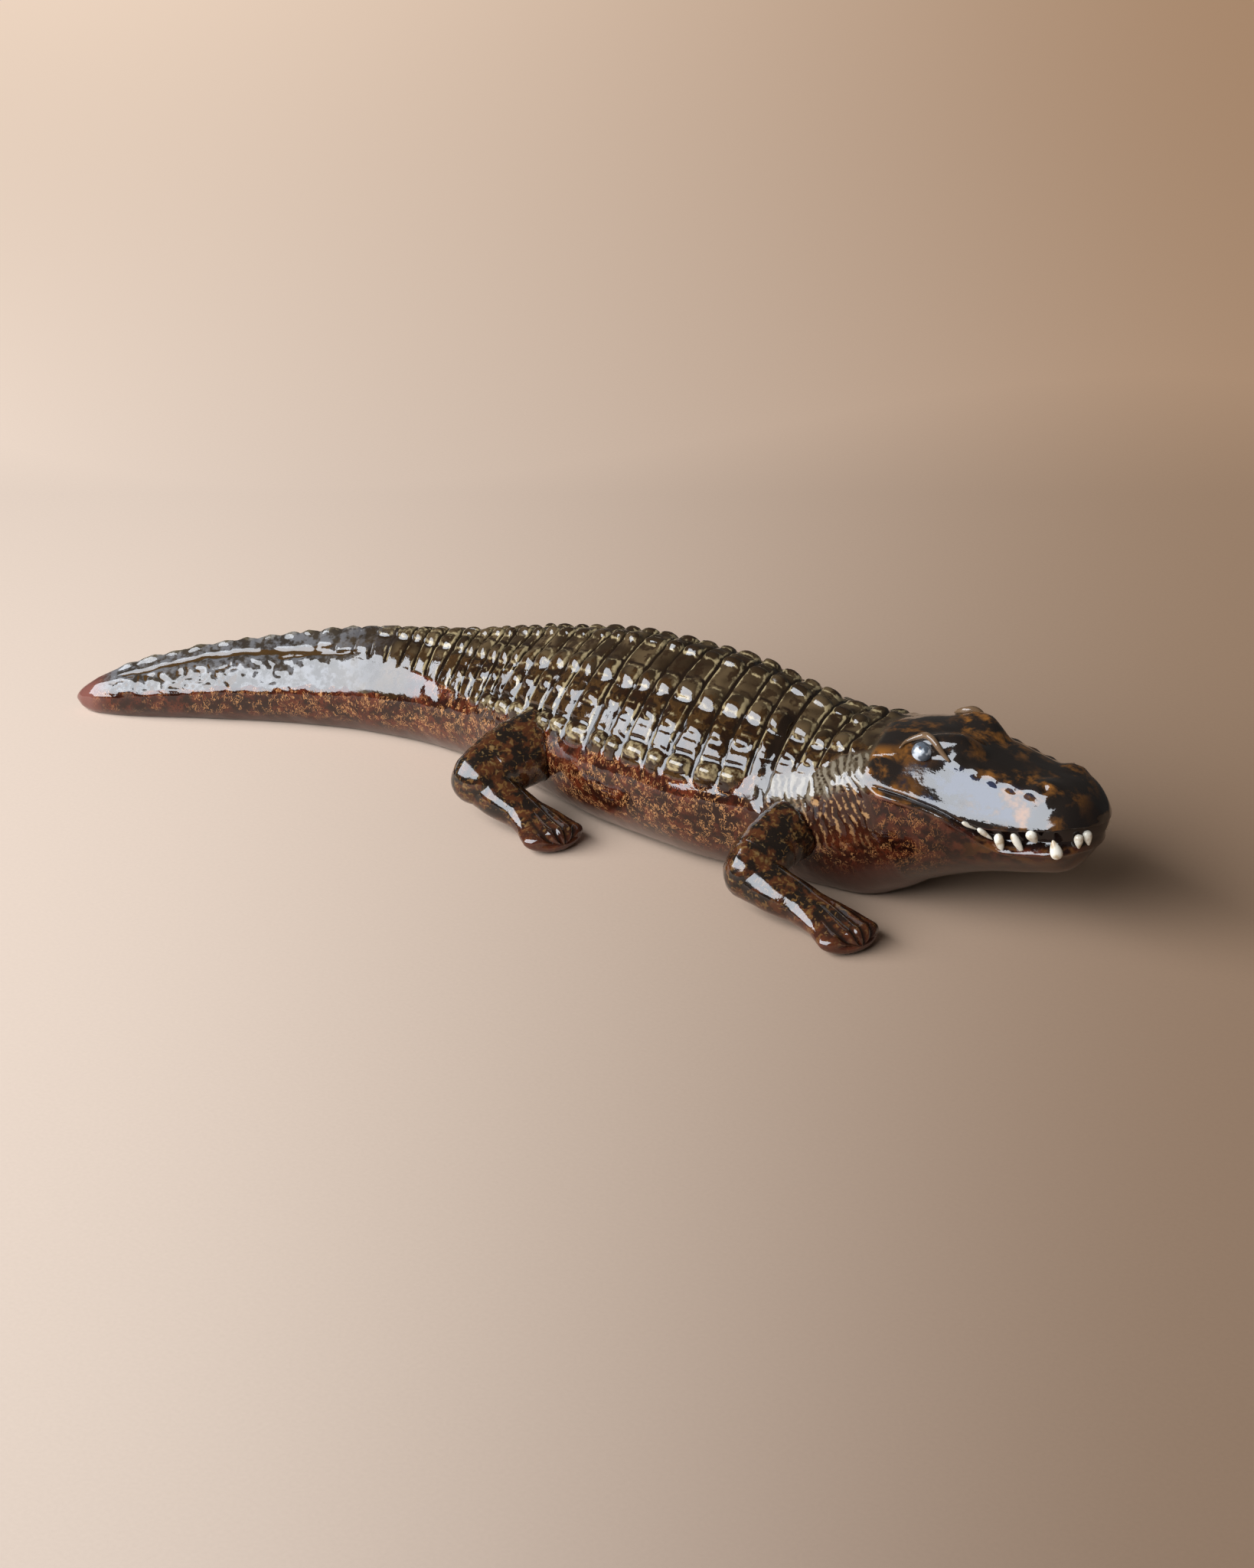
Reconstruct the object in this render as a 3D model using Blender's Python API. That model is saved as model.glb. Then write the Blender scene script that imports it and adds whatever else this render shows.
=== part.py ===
"""A glazed stoneware crocodile figure, cast in one piece.

Metres, +Z up. The head points along +X, the tail bends towards the figure's right (-Y), and the
figure rests on its belly, tail and feet. The origin is the middle of its footprint, on the ground.
"""

import math

import bmesh
import bpy
import numpy as np
from mathutils import Matrix

# Driving dimensions, in metres
LENGTH = 0.364  # snout to tail tip, along X
PLATE_STEP = 0.0005  # how far the back armour stands out of the flank
GROOVE_DEPTH = 0.0011  # of the cross grooves between its bands
BOSS_HEIGHT = 0.0016  # of the bosses on each band
CREST_HEIGHT = 0.0017  # of the saw-toothed crest on the tail
FOLD_HEIGHT = 0.0009  # of the folds of skin on the neck
BROW_HEIGHT = 0.0050
EYE_RADIUS = 0.0030
MOUTH_DEPTH = 0.0042  # how far the gap between the jaws is cut in, at the front
TOE_GROOVE = 0.0012  # how deep the grooves between the toes are
TOES = 5
TOE_ARC = 0.0022  # how much further the middle toes reach than the outer ones
TOE_BLUNTNESS = 0.4
LIMB_SIDES = 10

# The form is drawn in millimetres on a figure of this length, and scaled to LENGTH.
DRAWN_LENGTH = 364.2
UNIT = LENGTH / DRAWN_LENGTH

# Along the body: place along X, side shift of the spine, half width, height of the back, height of
# the widest line (on the head, the mouth line), height of the belly, squareness above and below it.
# What would lie below the ground is pressed flat on it.
BODY = np.array([
    (-165, -83.0, 5.0, 8.0, 4.2, -0.8, 2.0, 2.0),
    (-150, -72.5, 9.4, 16.0, 7.5, -1.4, 1.7, 2.1),
    (-130, -55.0, 12.6, 23.2, 10.8, -1.7, 1.5, 2.1),
    (-105, -36.0, 15.2, 28.8, 13.0, -2.0, 1.45, 2.05),
    (-80, -22.0, 17.0, 33.5, 15.0, -2.3, 1.45, 2.05),
    (-50, -13.0, 19.6, 37.8, 17.0, -2.6, 1.45, 2.05),
    (-20, -10.0, 23.8, 45.2, 20.0, -3.0, 1.45, 2.05),
    (10, -12.0, 28.5, 53.3, 23.0, -3.3, 1.45, 2.05),
    (40, -14.0, 33.0, 59.0, 25.0, -3.3, 1.45, 2.05),
    (70, -13.4, 34.5, 60.5, 26.0, -3.3, 1.45, 2.05),
    (98, -10.5, 29.0, 56.5, 25.5, -3.3, 1.5, 2.1),
    (115, -9.0, 26.5, 53.0, 28.0, -3.0, 1.7, 2.1),
    (127, -8.0, 26.4, 52.5, 36.0, -2.0, 2.0, 2.2),
    (138, -7.2, 25.8, 54.0, 40.0, 2.8, 2.2, 2.2),
    (148, -5.8, 24.2, 55.0, 38.0, 9.0, 2.2, 2.1),
    (156, -4.4, 22.2, 54.4, 35.4, 12.4, 2.2, 2.0),
    (166, -2.6, 20.0, 52.3, 34.0, 15.8, 2.2, 2.1),
    (178, -0.8, 17.8, 49.8, 34.8, 18.6, 2.2, 2.2),
    (188, 0.8, 16.0, 48.6, 37.0, 20.8, 2.2, 2.2),
    (198.5, 3.0, 13.2, 47.0, 38.4, 24.0, 2.2, 2.0),
])
X, SPINE, HALF_WIDTH, BACK, WIDEST, BELLY, SQUARE_ABOVE, SQUARE_BELOW = BODY.T
SNOUT_ROUND = 12.0  # over this much of the snout the form closes to its tip
TAIL_ROUND = 7.0

# The back armour: how many bands lie behind each place along X, and the angle round the section,
# from the spine, where the armour ends on the flank
BANDS = np.array([(-160, -24), (-9, 0), (95, 13), (125, 17)])
MARGIN = np.array([
    (-104, 0.50), (-60, 0.90), (-20, 1.24), (90, 1.27), (99, 1.04), (118, 0.95), (127, 0.70),
])

# Rows of bosses on either side: angle round the section, height as a share of BOSS_HEIGHT, angle
# the boss reaches to either side, and the places along X where the row starts and ends
ROWS = (
    (0.20, 0.7, 0.12, -70, 123),
    (0.60, 1.0, 0.14, -92, 123),
    (0.92, 0.8, 0.11, -50, 117),
    (1.16, 1.0, 0.12, -32, 94),
)
ROWS_MEET = -92.0  # the two upper rows of each side run together here, and go on as one crest

# The head's section above the mouth line: angle, share of the half width, share of the height.
# A flat top and a sloping cheek meet in a blunt ridge that runs from the eye to the nostril.
HEAD_SECTION = np.array([
    (0.0, 0.0, 1.0), (0.35, 0.35, 0.98), (0.60, 0.56, 0.91), (0.75, 0.655, 0.80),
    (1.10, 0.84, 0.45), (1.40, 0.965, 0.13), (math.pi / 2, 1.0, 0.0),
])
# On the head: place along X, and angle round the section
EYE = (148.0, 0.68)
BROW = (152.5, 0.52)
NOSTRIL = (184.0, 0.64)
MOUTH_CORNER = 139.0
HEAD_BACK = 129.0

# Teeth of one side, from the back: place along X and angle of the root, the same of the tip, width.
# A tip that lies above its root is a tooth of the lower jaw.
TEETH = (
    (163.5, 1.53, 166.9, 1.66, 1.5),
    (167.7, 1.54, 171.2, 1.76, 1.7),
    (173.1, 1.55, 173.5, 2.00, 2.9),
    (180.4, 1.98, 176.8, 1.60, 2.0),
    (180.4, 1.52, 184.0, 1.76, 2.8),
    (189.1, 2.22, 188.2, 1.63, 3.7),
    (193.2, 1.55, 193.9, 1.88, 2.6),
    (195.9, 1.55, 196.3, 1.95, 2.4),
)

# Legs of the right side: centre, half width and half height of the section, from inside the body to
# the elbow or knee, and from there to the ball of the foot
UPPER_FORELEG = (
    (112, -18, 22, 14, 12), (113, -30, 22, 11, 10.5), (113, -42, 20, 9.5, 9.2),
    (113, -50, 15.5, 8.8, 8.8),
)
LOWER_FORELEG = (
    (113, -51, 13.5, 8.6, 8.6), (121, -51, 11, 7.6, 7.2), (131, -48.5, 7.8, 7, 5.8),
    (140, -48.5, 6, 8.6, 4.9), (150, -50, 4.2, 10.8, 4.2),
)
UPPER_HINDLEG = (
    (12, -18, 21, 17, 14), (12, -34, 22, 14, 12.5), (10, -48, 20, 12, 11), (8.5, -57, 17, 9.8, 9.8),
)
LOWER_HINDLEG = (
    (8.5, -58, 15.5, 9, 9), (15, -58, 12, 7.8, 7.4), (23, -56, 8.2, 7, 5.8),
    (29.5, -55.5, 6, 8.6, 4.9), (38.5, -57, 4.2, 10.8, 4.2),
)

GLAZE_COLOUR = (0.075, 0.035, 0.014, 1.0)
GLAZE_ROUGHNESS = 0.12


def through(x, at, value):
    """A smooth curve through the points (at, value) that never overshoots them."""
    gap = np.diff(at)
    slope = np.diff(value) / gap
    inner = np.zeros(len(at))
    same = slope[1:] * slope[:-1] > 0
    w1, w2 = 2 * gap[1:] + gap[:-1], gap[1:] + 2 * gap[:-1]
    safe = np.where(slope == 0, 1.0, slope)
    inner[1:-1] = np.where(same, (w1 + w2) / (w1 / safe[:-1] + w2 / safe[1:]), 0)
    inner[0], inner[-1] = slope[0], slope[-1]
    i = np.clip(np.searchsorted(at, x) - 1, 0, len(gap) - 1)
    t = np.clip((x - at[i]) / gap[i], 0, 1)
    return (
        value[i] * (1 + 2 * t) * (1 - t) ** 2
        + value[i + 1] * t**2 * (3 - 2 * t)
        + gap[i] * t * (1 - t) * (inner[i] * (1 - t) - inner[i + 1] * t)
    )


def fade(x, start, end):
    """0 before start, 1 after end, and smooth between."""
    t = np.clip((x - start) / (end - start), 0, 1)
    return t * t * (3 - 2 * t)


def bump(distance, radius):
    """1 at the middle, falling smoothly to 0 at the radius."""
    return np.clip(1 - (distance / radius) ** 2, 0, 1) ** 2


def armour_relief(x, phi):
    """How far the bands and bosses of the back, and the crest of the tail, stand out."""
    side = np.abs(phi)
    phase = np.interp(x, BANDS[:, 0], BANDS[:, 1]) % 1.0
    margin = np.interp(x, MARGIN[:, 0], MARGIN[:, 1])
    plate = fade(x, -104, -86) * (1 - fade(x, 121, 127))
    plate = plate * (1 - fade(side, margin - 0.03, margin + 0.06))
    groove = bump(np.minimum(phase, 1 - phase), 0.14)
    out = (PLATE_STEP - GROOVE_DEPTH * groove) / UNIT * plate
    tooth = bump(phase - 0.5, 0.5)
    meet = np.clip((x - ROWS_MEET) / 72, 0, 1)
    for angle, height, reach, start, end in ROWS:
        row = angle * meet if angle < 0.7 else angle
        ridge = 0.55 * (1 - meet) + (0.45 + 0.55 * meet) * tooth
        there = fade(x, start, start + 22) * (1 - fade(x, end - 3, end + 1))
        out = out + BOSS_HEIGHT / UNIT * height * there * ridge * bump(side - row, reach)
    crest = fade(x, -160, -140) * (1 - fade(x, ROWS_MEET, ROWS_MEET + 16))
    out = out + CREST_HEIGHT / UNIT * crest * bump(side, 0.26) * (0.6 + 0.4 * tooth)
    channel = fade(x, -146, -120) * (1 - fade(x, -80, -60))
    return out - 0.8 * channel * bump(side - 0.45, 0.2)


def neck_folds(x, phi):
    """The folds of skin that run down the neck, behind the jaw."""
    side = np.abs(phi)
    margin = np.interp(x, MARGIN[:, 0], MARGIN[:, 1])
    fold = ((x - 9 * (side - 1)) / 4.8) % 1.0
    where = fade(x, 95, 102) * (1 - fade(x, 124, 131)) * fade(side, margin, margin + 0.15)
    return FOLD_HEIGHT / UNIT * bump(fold - 0.5, 0.5) * where * (1 - fade(side, 1.9, 2.4))


def head_relief(x, phi):
    """The carving of the head: eyes, brows, nostrils, the gap of the mouth, the lips and the jowl."""
    side = np.abs(phi)
    out = 1.7 * bump(np.hypot(x - EYE[0], (side - EYE[1]) * 16), EYE_RADIUS / UNIT)
    out = out - 1.3 * bump(np.hypot((x - EYE[0]) / 1.35, (side - EYE[1]) * 16), 5.2)
    out = out + BROW_HEIGHT / UNIT * bump(np.hypot((x - BROW[0]) / 1.6, (side - BROW[1]) * 16), 6.8)
    canthus = np.interp(x, (152, 158, 186), (0.55, 0.66, 0.78))
    out = out + 0.9 * bump(side - canthus, 0.22) * fade(x, 150, 156) * (1 - fade(x, 178, 188))
    to_nostril = np.hypot(x - NOSTRIL[0], (side - NOSTRIL[1]) * 10)
    out = out + 1.5 * bump(to_nostril, 5.5) - 1.8 * bump(to_nostril, 1.7)
    # The gap between the jaws opens from the corner of the mouth to the front
    open_ahead = fade(x, MOUTH_CORNER + 3, MOUTH_CORNER + 36)
    low = 1.68 + 0.14 * open_ahead
    gap = fade(side, 1.54, 1.60) * (1 - fade(side, low, low + 0.07))
    depth = 1.0 + (MOUTH_DEPTH / UNIT - 1.0) * open_ahead
    out = out - gap * depth * fade(x, MOUTH_CORNER - 2, MOUTH_CORNER + 1)
    # The lower jaw stands back under the upper lip
    out = out - 2.0 * fade(side, 1.6, 1.75) * (1 - fade(side, 2.4, 2.9)) * fade(x, 152, 176)
    lips = 0.8 * bump(side - 1.47, 0.16) + 0.6 * bump(side - low - 0.20, 0.16)
    out = out + lips * fade(x, MOUTH_CORNER, MOUTH_CORNER + 10)
    out = out + 1.6 * bump(np.hypot((x - 140) / 1.5, (side - 1.86) * 16), 5.5)
    back = fade(x, HEAD_BACK - 1.5, HEAD_BACK + 1) * (1 - fade(x, HEAD_BACK + 8, HEAD_BACK + 24))
    return out + 0.9 * back * (1 - fade(side, 2.2, 2.7))


def body_points(x, phi, carved=1.0):
    """Points of the skin, in drawn millimetres, from places along X and angles round the section."""
    spine = through(x, X, SPINE)
    ahead = through(x + 0.5, X, SPINE) - through(x - 0.5, X, SPINE)
    right = np.stack([ahead, -np.ones_like(x)], -1) / np.hypot(1, ahead)[..., None]
    to_snout = np.clip((x - X[-1] + SNOUT_ROUND) / SNOUT_ROUND, 0, 1)
    to_tail = np.clip((X[0] + TAIL_ROUND - x) / TAIL_ROUND, 0, 1)
    close = np.sqrt((1 - to_snout**2) * (1 - to_tail**2))
    middle = through(x, X, WIDEST)
    wide = through(x, X, HALF_WIDTH) * close
    above = np.cos(phi) >= 0
    tall = np.where(above, through(x, X, BACK) - middle, middle - through(x, X, BELLY)) * close
    power = 2 / np.where(above, through(x, X, SQUARE_ABOVE), through(x, X, SQUARE_BELOW))
    across = wide * np.sign(np.sin(phi)) * np.abs(np.sin(phi)) ** power
    up = tall * np.sign(np.cos(phi)) * np.abs(np.cos(phi)) ** power
    on_head = fade(x, 130, 146) * above
    side = np.clip(np.abs(phi), 0, math.pi / 2)
    cheek, crown = (through(side, HEAD_SECTION[:, 0], column) for column in HEAD_SECTION.T[1:])
    across = across + (wide * np.sign(np.sin(phi)) * cheek - across) * on_head
    up = up + (tall * crown - up) * on_head
    lean = np.stack([across / (wide + 0.1) ** 2, up / (tall + 0.1) ** 2], -1)
    lean = lean / (np.linalg.norm(lean, axis=-1, keepdims=True) + 1e-9)
    out = (armour_relief(x, phi) + neck_folds(x, phi) + head_relief(x, phi)) * close * carved
    across = across + lean[..., 0] * out
    height = np.maximum(middle + up + lean[..., 1] * out, 0)
    return np.stack([x + right[..., 0] * across, spine + right[..., 1] * across, height], -1)


def ring_places():
    """Places along X of the rings: at the grooves and bosses of each band, closer on the head."""
    bands = [band + share for band in range(-12, 0) for share in (0.0, 0.2, 0.6)]
    bands += [band + share for band in range(0, 17) for share in (0.0, 0.15, 0.5, 0.85)]
    armour = np.interp(bands, BANDS[:, 1], BANDS[:, 0])
    tail = [X[0] + TAIL_ROUND * (1 - math.cos(a)) for a in (0.3, 0.75, 1.15)]
    tail += list(np.arange(X[0] + TAIL_ROUND + 1, armour[0] - 2, 6.2))
    head = list(np.arange(armour[-1] + 2.2, X[-1] - SNOUT_ROUND - 1, 2.9))
    snout = [X[-1] - SNOUT_ROUND * (1 - math.sin(a)) for a in (0.1, 0.4, 0.7, 1.0, 1.3)]
    return np.array(tail + list(armour) + head + snout)


def ring_angles(x):
    """Angles round the section for each ring: on the back they follow the rows, on the head the mouth."""
    tail = [0.0, 0.12, 0.26, 0.42, 0.62, 0.82, 1.02, 1.25, 1.50, 1.80, 2.22, 2.66]
    back = [0.0, 0.20, 0.40, 0.60, 0.76, 0.92, 1.04, 1.16, 1.31, 1.70, 2.18, 2.68]
    head = [0.0, 0.24, 0.46, 0.70, 1.00, 1.34, 1.53, 1.62, 1.78, 1.92, 2.25, 2.68]
    to_back = fade(x, -100, -40)[:, None]
    to_head = fade(x, 112, MOUTH_CORNER)[:, None]
    half = (np.array(tail) * (1 - to_back) + np.array(back) * to_back) * (1 - to_head)
    half = half + np.array(head) * to_head
    return np.concatenate([half, np.full((len(x), 1), math.pi), -half[:, :0:-1]], 1)


def loft(name, rings, first_tip, last_tip):
    """A closed skin over rings of equal count, in drawn millimetres, closed to a point at each end."""
    skin = bmesh.new()
    corners = [[skin.verts.new(point * UNIT) for point in ring] for ring in rings]
    for ring, following in zip(corners, corners[1:]):
        for j, corner in enumerate(ring):
            skin.faces.new((ring[j - 1], corner, following[j], following[j - 1]))
    for tip, ring in ((first_tip, corners[0]), (last_tip, corners[-1])):
        point = skin.verts.new(tip * UNIT)
        for j, corner in enumerate(ring):
            skin.faces.new((ring[j - 1], corner, point))
    bmesh.ops.recalc_face_normals(skin, faces=skin.faces)
    mesh = bpy.data.meshes.new(name)
    skin.to_mesh(mesh)
    skin.free()
    return bpy.data.objects.new(name, mesh)


def body():
    x = ring_places()
    phi = ring_angles(x)
    rings = body_points(np.broadcast_to(x[:, None], phi.shape), phi)
    tips = body_points(np.array([X[0], X[-1]]), np.zeros(2))
    return loft("crocodile", rings, tips[0], tips[1])


def limb_stations(path, steps, cap_angles, blunt):
    """Centres, directions and half sizes along a smooth path, with rings that round its two ends.
    The far end keeps its width longer, the smaller blunt is, as a foot does at its toes."""
    path = np.array(path, float)
    at = np.arange(len(path), dtype=float)
    line = np.stack([through(np.linspace(0, at[-1], steps), at, column) for column in path.T], -1)
    ahead = np.gradient(line[:, :3], axis=0)
    ahead = ahead / np.linalg.norm(ahead, axis=1, keepdims=True)
    first, last = line[0], line[-1]
    reach_back, reach_on = ahead[0] * first[4], ahead[-1] * last[4] * 1.2
    stations = [(first[:3] - reach_back * math.sin(a), ahead[0], first[3:] * math.cos(a)) for a in (1.0, 0.5)]
    stations += [(point[:3], forward, point[3:]) for point, forward in zip(line, ahead)]
    for a in cap_angles:
        size = last[3:] * np.array([math.cos(a) ** blunt, math.cos(a)])
        stations.append((last[:3] + reach_on * math.sin(a), ahead[-1], size))
    return stations, first[:3] - reach_back, last[:3] + reach_on


def toe_angles():
    """Angles round a foot's section at the crests and grooves of its toes, and how deep each is cut."""
    over = np.arccos(np.linspace(1, -1, 2 * TOES + 1))
    under = -np.arccos(np.linspace(-1, 1, 6))[1:-1]
    groove = np.zeros(len(over) + len(under))
    groove[2 : 2 * TOES - 1 : 2] = TOE_GROOVE / UNIT
    return np.concatenate([over, under]), groove


def limb(name, path, steps, foot=False):
    """A limb along a smooth path, with rounded ends. On a foot, grooves part the toes."""
    cap_angles, blunt = ((0.4, 0.8, 1.2), TOE_BLUNTNESS) if foot else ((0.5, 1.0), 1.0)
    stations, first_tip, last_tip = limb_stations(path, steps, cap_angles, blunt)
    turn, groove = toe_angles() if foot else (np.arange(LIMB_SIDES) * 2 * math.pi / LIMB_SIDES, 0)
    rings = []
    for k, (centre, forward, (half_width, half_height)) in enumerate(stations):
        level = np.cross(forward, (0, 0, 1.0))
        level = level / np.linalg.norm(level)
        over = np.cross(level, forward)
        share = k / (len(stations) - 1)
        cut = np.broadcast_to(groove * fade(share, 0.5, 0.75), turn.shape)[:, None]
        ring = centre + half_width * np.cos(turn)[:, None] * level
        ring = ring + (half_height - cut) * np.sin(turn)[:, None] * over - 0.6 * cut * forward
        if foot:
            # The middle toes are the longest
            ring = ring - TOE_ARC / UNIT * fade(share, 0.6, 0.9) * np.cos(turn)[:, None] ** 2 * forward
        ring[:, 2] = np.maximum(ring[:, 2], 0)
        rings.append(ring)
    return loft(name, rings, first_tip, last_tip)


def leg(name, upper, lower, mirror):
    """A leg in two lengths that meet in the elbow or knee, or its mirror across the spine."""
    def place(path):
        if not mirror:
            return path
        return [(x, 2 * float(through(np.array([x]), X, SPINE)[0]) - y, *rest) for x, y, *rest in path]

    return [limb(f"{name}_upper", place(upper), 5), limb(f"{name}_lower", place(lower), 8, foot=True)]


def tooth(name, root_x, root_angle, tip_x, tip_angle, width, hand):
    """A leaf-shaped tooth that stands in a jaw and lies over the gap of the mouth."""
    ends = np.array([root_x, tip_x])
    root, tip = body_points(ends, hand * np.array([root_angle, tip_angle]), carved=0.0)
    heart = np.array([root_x - 7.0, float(through(ends - 7.0, X, SPINE)[0]), root[2]])
    outward = (root - heart) / np.linalg.norm(root - heart)
    root = root - outward * (1.4 if tip[2] < root[2] else 3.4)
    tip = tip - outward * 0.3
    turn = np.linspace(0, 2 * math.pi, 5, endpoint=False)
    flat = np.cross(outward, (0, 0, 1.0))
    rings = []
    for share, size in ((0.0, 0.85), (0.6, 1.0)):
        radius = width / 2 * size
        circle = np.cos(turn)[:, None] * flat + 0.7 * np.sin(turn)[:, None] * outward
        rings.append(root + (tip - root) * share + radius * circle)
    return loft(name, rings, root - (tip - root) * 0.3, tip)


def glaze():
    material = bpy.data.materials.new("Brown glaze")
    material.use_nodes = True
    shader = material.node_tree.nodes["Principled BSDF"]
    shader.inputs["Base Color"].default_value = GLAZE_COLOUR
    shader.inputs["Roughness"].default_value = GLAZE_ROUGHNESS
    shader.inputs["Metallic"].default_value = 0.0
    return material


def centre(objects):
    """Move the whole figure so that the middle of its footprint is the origin."""
    points = np.array([corner.co[:] for built in objects for corner in built.data.vertices])
    low, high = points.min(0), points.max(0)
    middle = (low + high) / 2
    for built in objects:
        built.data.transform(Matrix.Translation((-middle[0], -middle[1], -low[2])))


def main():
    for old in list(bpy.data.objects):
        bpy.data.objects.remove(old)
    figure = body()
    figure.data.materials.append(glaze())
    joined = []
    for side, hand in (("right", 1), ("left", -1)):
        joined += leg(f"{side}_foreleg", UPPER_FORELEG, LOWER_FORELEG, hand < 0)
        joined += leg(f"{side}_hindleg", UPPER_HINDLEG, LOWER_HINDLEG, hand < 0)
        joined += [tooth(f"{side}_tooth_{k + 1}", *sizes, hand) for k, sizes in enumerate(TEETH)]
    centre([figure] + joined)
    bpy.context.scene.collection.objects.link(figure)
    fused = bpy.data.collections.new("Limbs and teeth")
    bpy.context.scene.collection.children.link(fused)
    for built in joined:
        fused.objects.link(built)
        built.hide_render = True
        built.display_type = "WIRE"
    union = figure.modifiers.new("Fuse limbs and teeth", "BOOLEAN")
    union.operation = "UNION"
    union.operand_type = "COLLECTION"
    union.collection = fused
    union.solver = "EXACT"


main()
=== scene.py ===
"""A glazed stoneware crocodile figure on a pale floor, lit by one large soft window of light.

The form is drawn in millimetres, as in the part's source, and carries the finer carving and glaze.
"""

import math

import bpy
import numpy as np
from mathutils import Matrix, Vector, kdtree, noise


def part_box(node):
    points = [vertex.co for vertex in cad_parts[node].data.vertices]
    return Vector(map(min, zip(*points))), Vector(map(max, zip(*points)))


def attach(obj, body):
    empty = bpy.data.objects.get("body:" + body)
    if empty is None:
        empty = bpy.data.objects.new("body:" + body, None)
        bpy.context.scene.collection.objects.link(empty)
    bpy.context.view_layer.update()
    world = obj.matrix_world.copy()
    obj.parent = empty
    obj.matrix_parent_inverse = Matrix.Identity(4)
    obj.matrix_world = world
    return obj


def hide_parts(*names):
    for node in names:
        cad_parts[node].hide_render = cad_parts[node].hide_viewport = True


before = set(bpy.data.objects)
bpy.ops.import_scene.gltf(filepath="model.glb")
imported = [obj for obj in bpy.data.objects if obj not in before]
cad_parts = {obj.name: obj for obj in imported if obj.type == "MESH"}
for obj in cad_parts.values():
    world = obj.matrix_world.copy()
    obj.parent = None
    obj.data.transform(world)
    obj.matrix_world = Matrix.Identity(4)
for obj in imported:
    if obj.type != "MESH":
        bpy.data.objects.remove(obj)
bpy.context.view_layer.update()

# The form, as in the part's source: the figure is drawn at DRAWN_LENGTH and scaled to LENGTH
LENGTH = 0.364
DRAWN_LENGTH = 364.2
UNIT = LENGTH / DRAWN_LENGTH
DRAWN_ORIGIN = Vector((-0.016668, 0.018233, 0.0))  # the drawing's origin in the frame, in metres
PLATE_STEP = 0.5
GROOVE_DEPTH = 1.265
CREST_HEIGHT = 1.7
FOLD_HEIGHT = 0.9
FOLD_PITCH = 2.5
BROW_HEIGHT = 4.1
EYE_RADIUS = 3.1
EYE_RISE = 1.9
EYE_RINGS = 12
EYE_SIDES = 18
SOCKET_DEPTH = 1.3
SOCKET_RADIUS = 3.3
LID_RADIUS = 1.15
LID_RINGS = 26
LID_SIDES = 10
LIP_DEPTH = 1.1
MOUTH_DEPTH = 4.2
TOOTH_FULLNESS = 0.42
TOOTH_RINGS = 12
TOOTH_SIDES = 14
LEG_EDGE = 1.2  # over 1, the upper half of a leg's section comes to an edge
LEG_WRINKLE = 0.18
LEG_WRINKLES = 12
TOE_GROOVE = 1.2
TOES = 5
TOE_ARC = 2.2
TOE_BLUNTNESS = 0.4
CREASE_REACH = 6
CREASE_PASSES = 12

# What each corner tells the glaze: how thin or pooled it is, its region, its angle around the
# body and its place along it
MARKS = ("thin", "pooled", "armour", "head", "mouth", "eye", "limb", "around", "along")
NOT_AROUND = 9.0  # the angle that the legs give, past every angle of the body

# Place along X, side shift of the spine, half width, back, widest line, belly, squareness above
# the widest line, and below it
BODY = np.array([
    (-165, -83, 5, 8, 4.2, -0.8, 2, 2),
    (-150, -72.5, 9.4, 16, 7.5, -1.4, 1.7, 2.1),
    (-130, -55, 12.6, 23.2, 10.8, -1.7, 1.5, 2.1),
    (-105, -36, 15.2, 28.8, 13, -2, 1.45, 2.05),
    (-80, -22, 17, 33.5, 15, -2.3, 1.45, 2.05),
    (-50, -13, 19.6, 37.8, 17, -2.6, 1.45, 2.05),
    (-20, -10, 23.8, 45.2, 20, -3, 1.45, 2.05),
    (10, -12, 28.5, 53.3, 23, -3.3, 1.45, 2.05),
    (40, -14, 33, 59, 25, -3.3, 1.45, 2.05),
    (70, -13.4, 34.5, 60.5, 26, -3.3, 1.45, 2.05),
    (98, -10.5, 29, 56.5, 25.5, -3.3, 1.5, 2.1),
    (115, -9, 26.5, 53, 28, -3, 1.7, 2.1),
    (127, -8, 26.4, 52.5, 36, -2, 2, 2.2),
    (138, -7.2, 25.8, 54, 40, 2.8, 2.2, 2.2),
    (148, -5.8, 24.2, 55, 38, 9, 2.2, 2.1),
    (156, -4.4, 22.2, 54.4, 35.4, 12.4, 2.2, 2),
    (166, -2.6, 20, 52.3, 34, 15.8, 2.2, 2.1),
    (178, -0.8, 17.8, 49.8, 34.8, 18.6, 2.2, 2.2),
    (188, 0.8, 16, 48.6, 37, 20.8, 2.2, 2.2),
    (198.5, 3, 13.2, 47, 38.4, 24, 2.2, 2),
])
X, SPINE, HALF_WIDTH, BACK, WIDEST, BELLY, SQUARE_ABOVE, SQUARE_BELOW = BODY.T
SNOUT_ROUND = 12
TAIL_ROUND = 7

# The bands of the back: place along X and number, then place along X and pitch
BANDS = np.array([(-160, -24), (-9, 0), (95, 13), (125, 17), (141, 19)])
BAND_PITCH = np.array([(-110, 6.3), (-9, 6.3), (8, 8), (95, 8), (98, 7.5)]).T
# The armour's lower edge: place along X, angle
MARGIN = np.array([
    (-104, 0.5), (-60, 0.9), (-20, 1.24), (90, 1.27), (99, 1.04), (118, 0.95), (127, 0.7),
]).T
# Rows of bosses: angle, height in millimetres, half length along a band's pitch, half width across
# in millimetres, start and end along X
ROWS = (
    (0.2, 1.6, 0.44, 2.5, -80, 128),
    (0.6, 1.45, 0.42, 3, -92, 128),
    (0.86, 1.05, 0.28, 1.9, -50, 117),
    (1.17, 1.5, 0.4, 2.3, -32, 94),
)
LOWEST_ROW = 3
ROWS_MEET = -92
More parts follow.
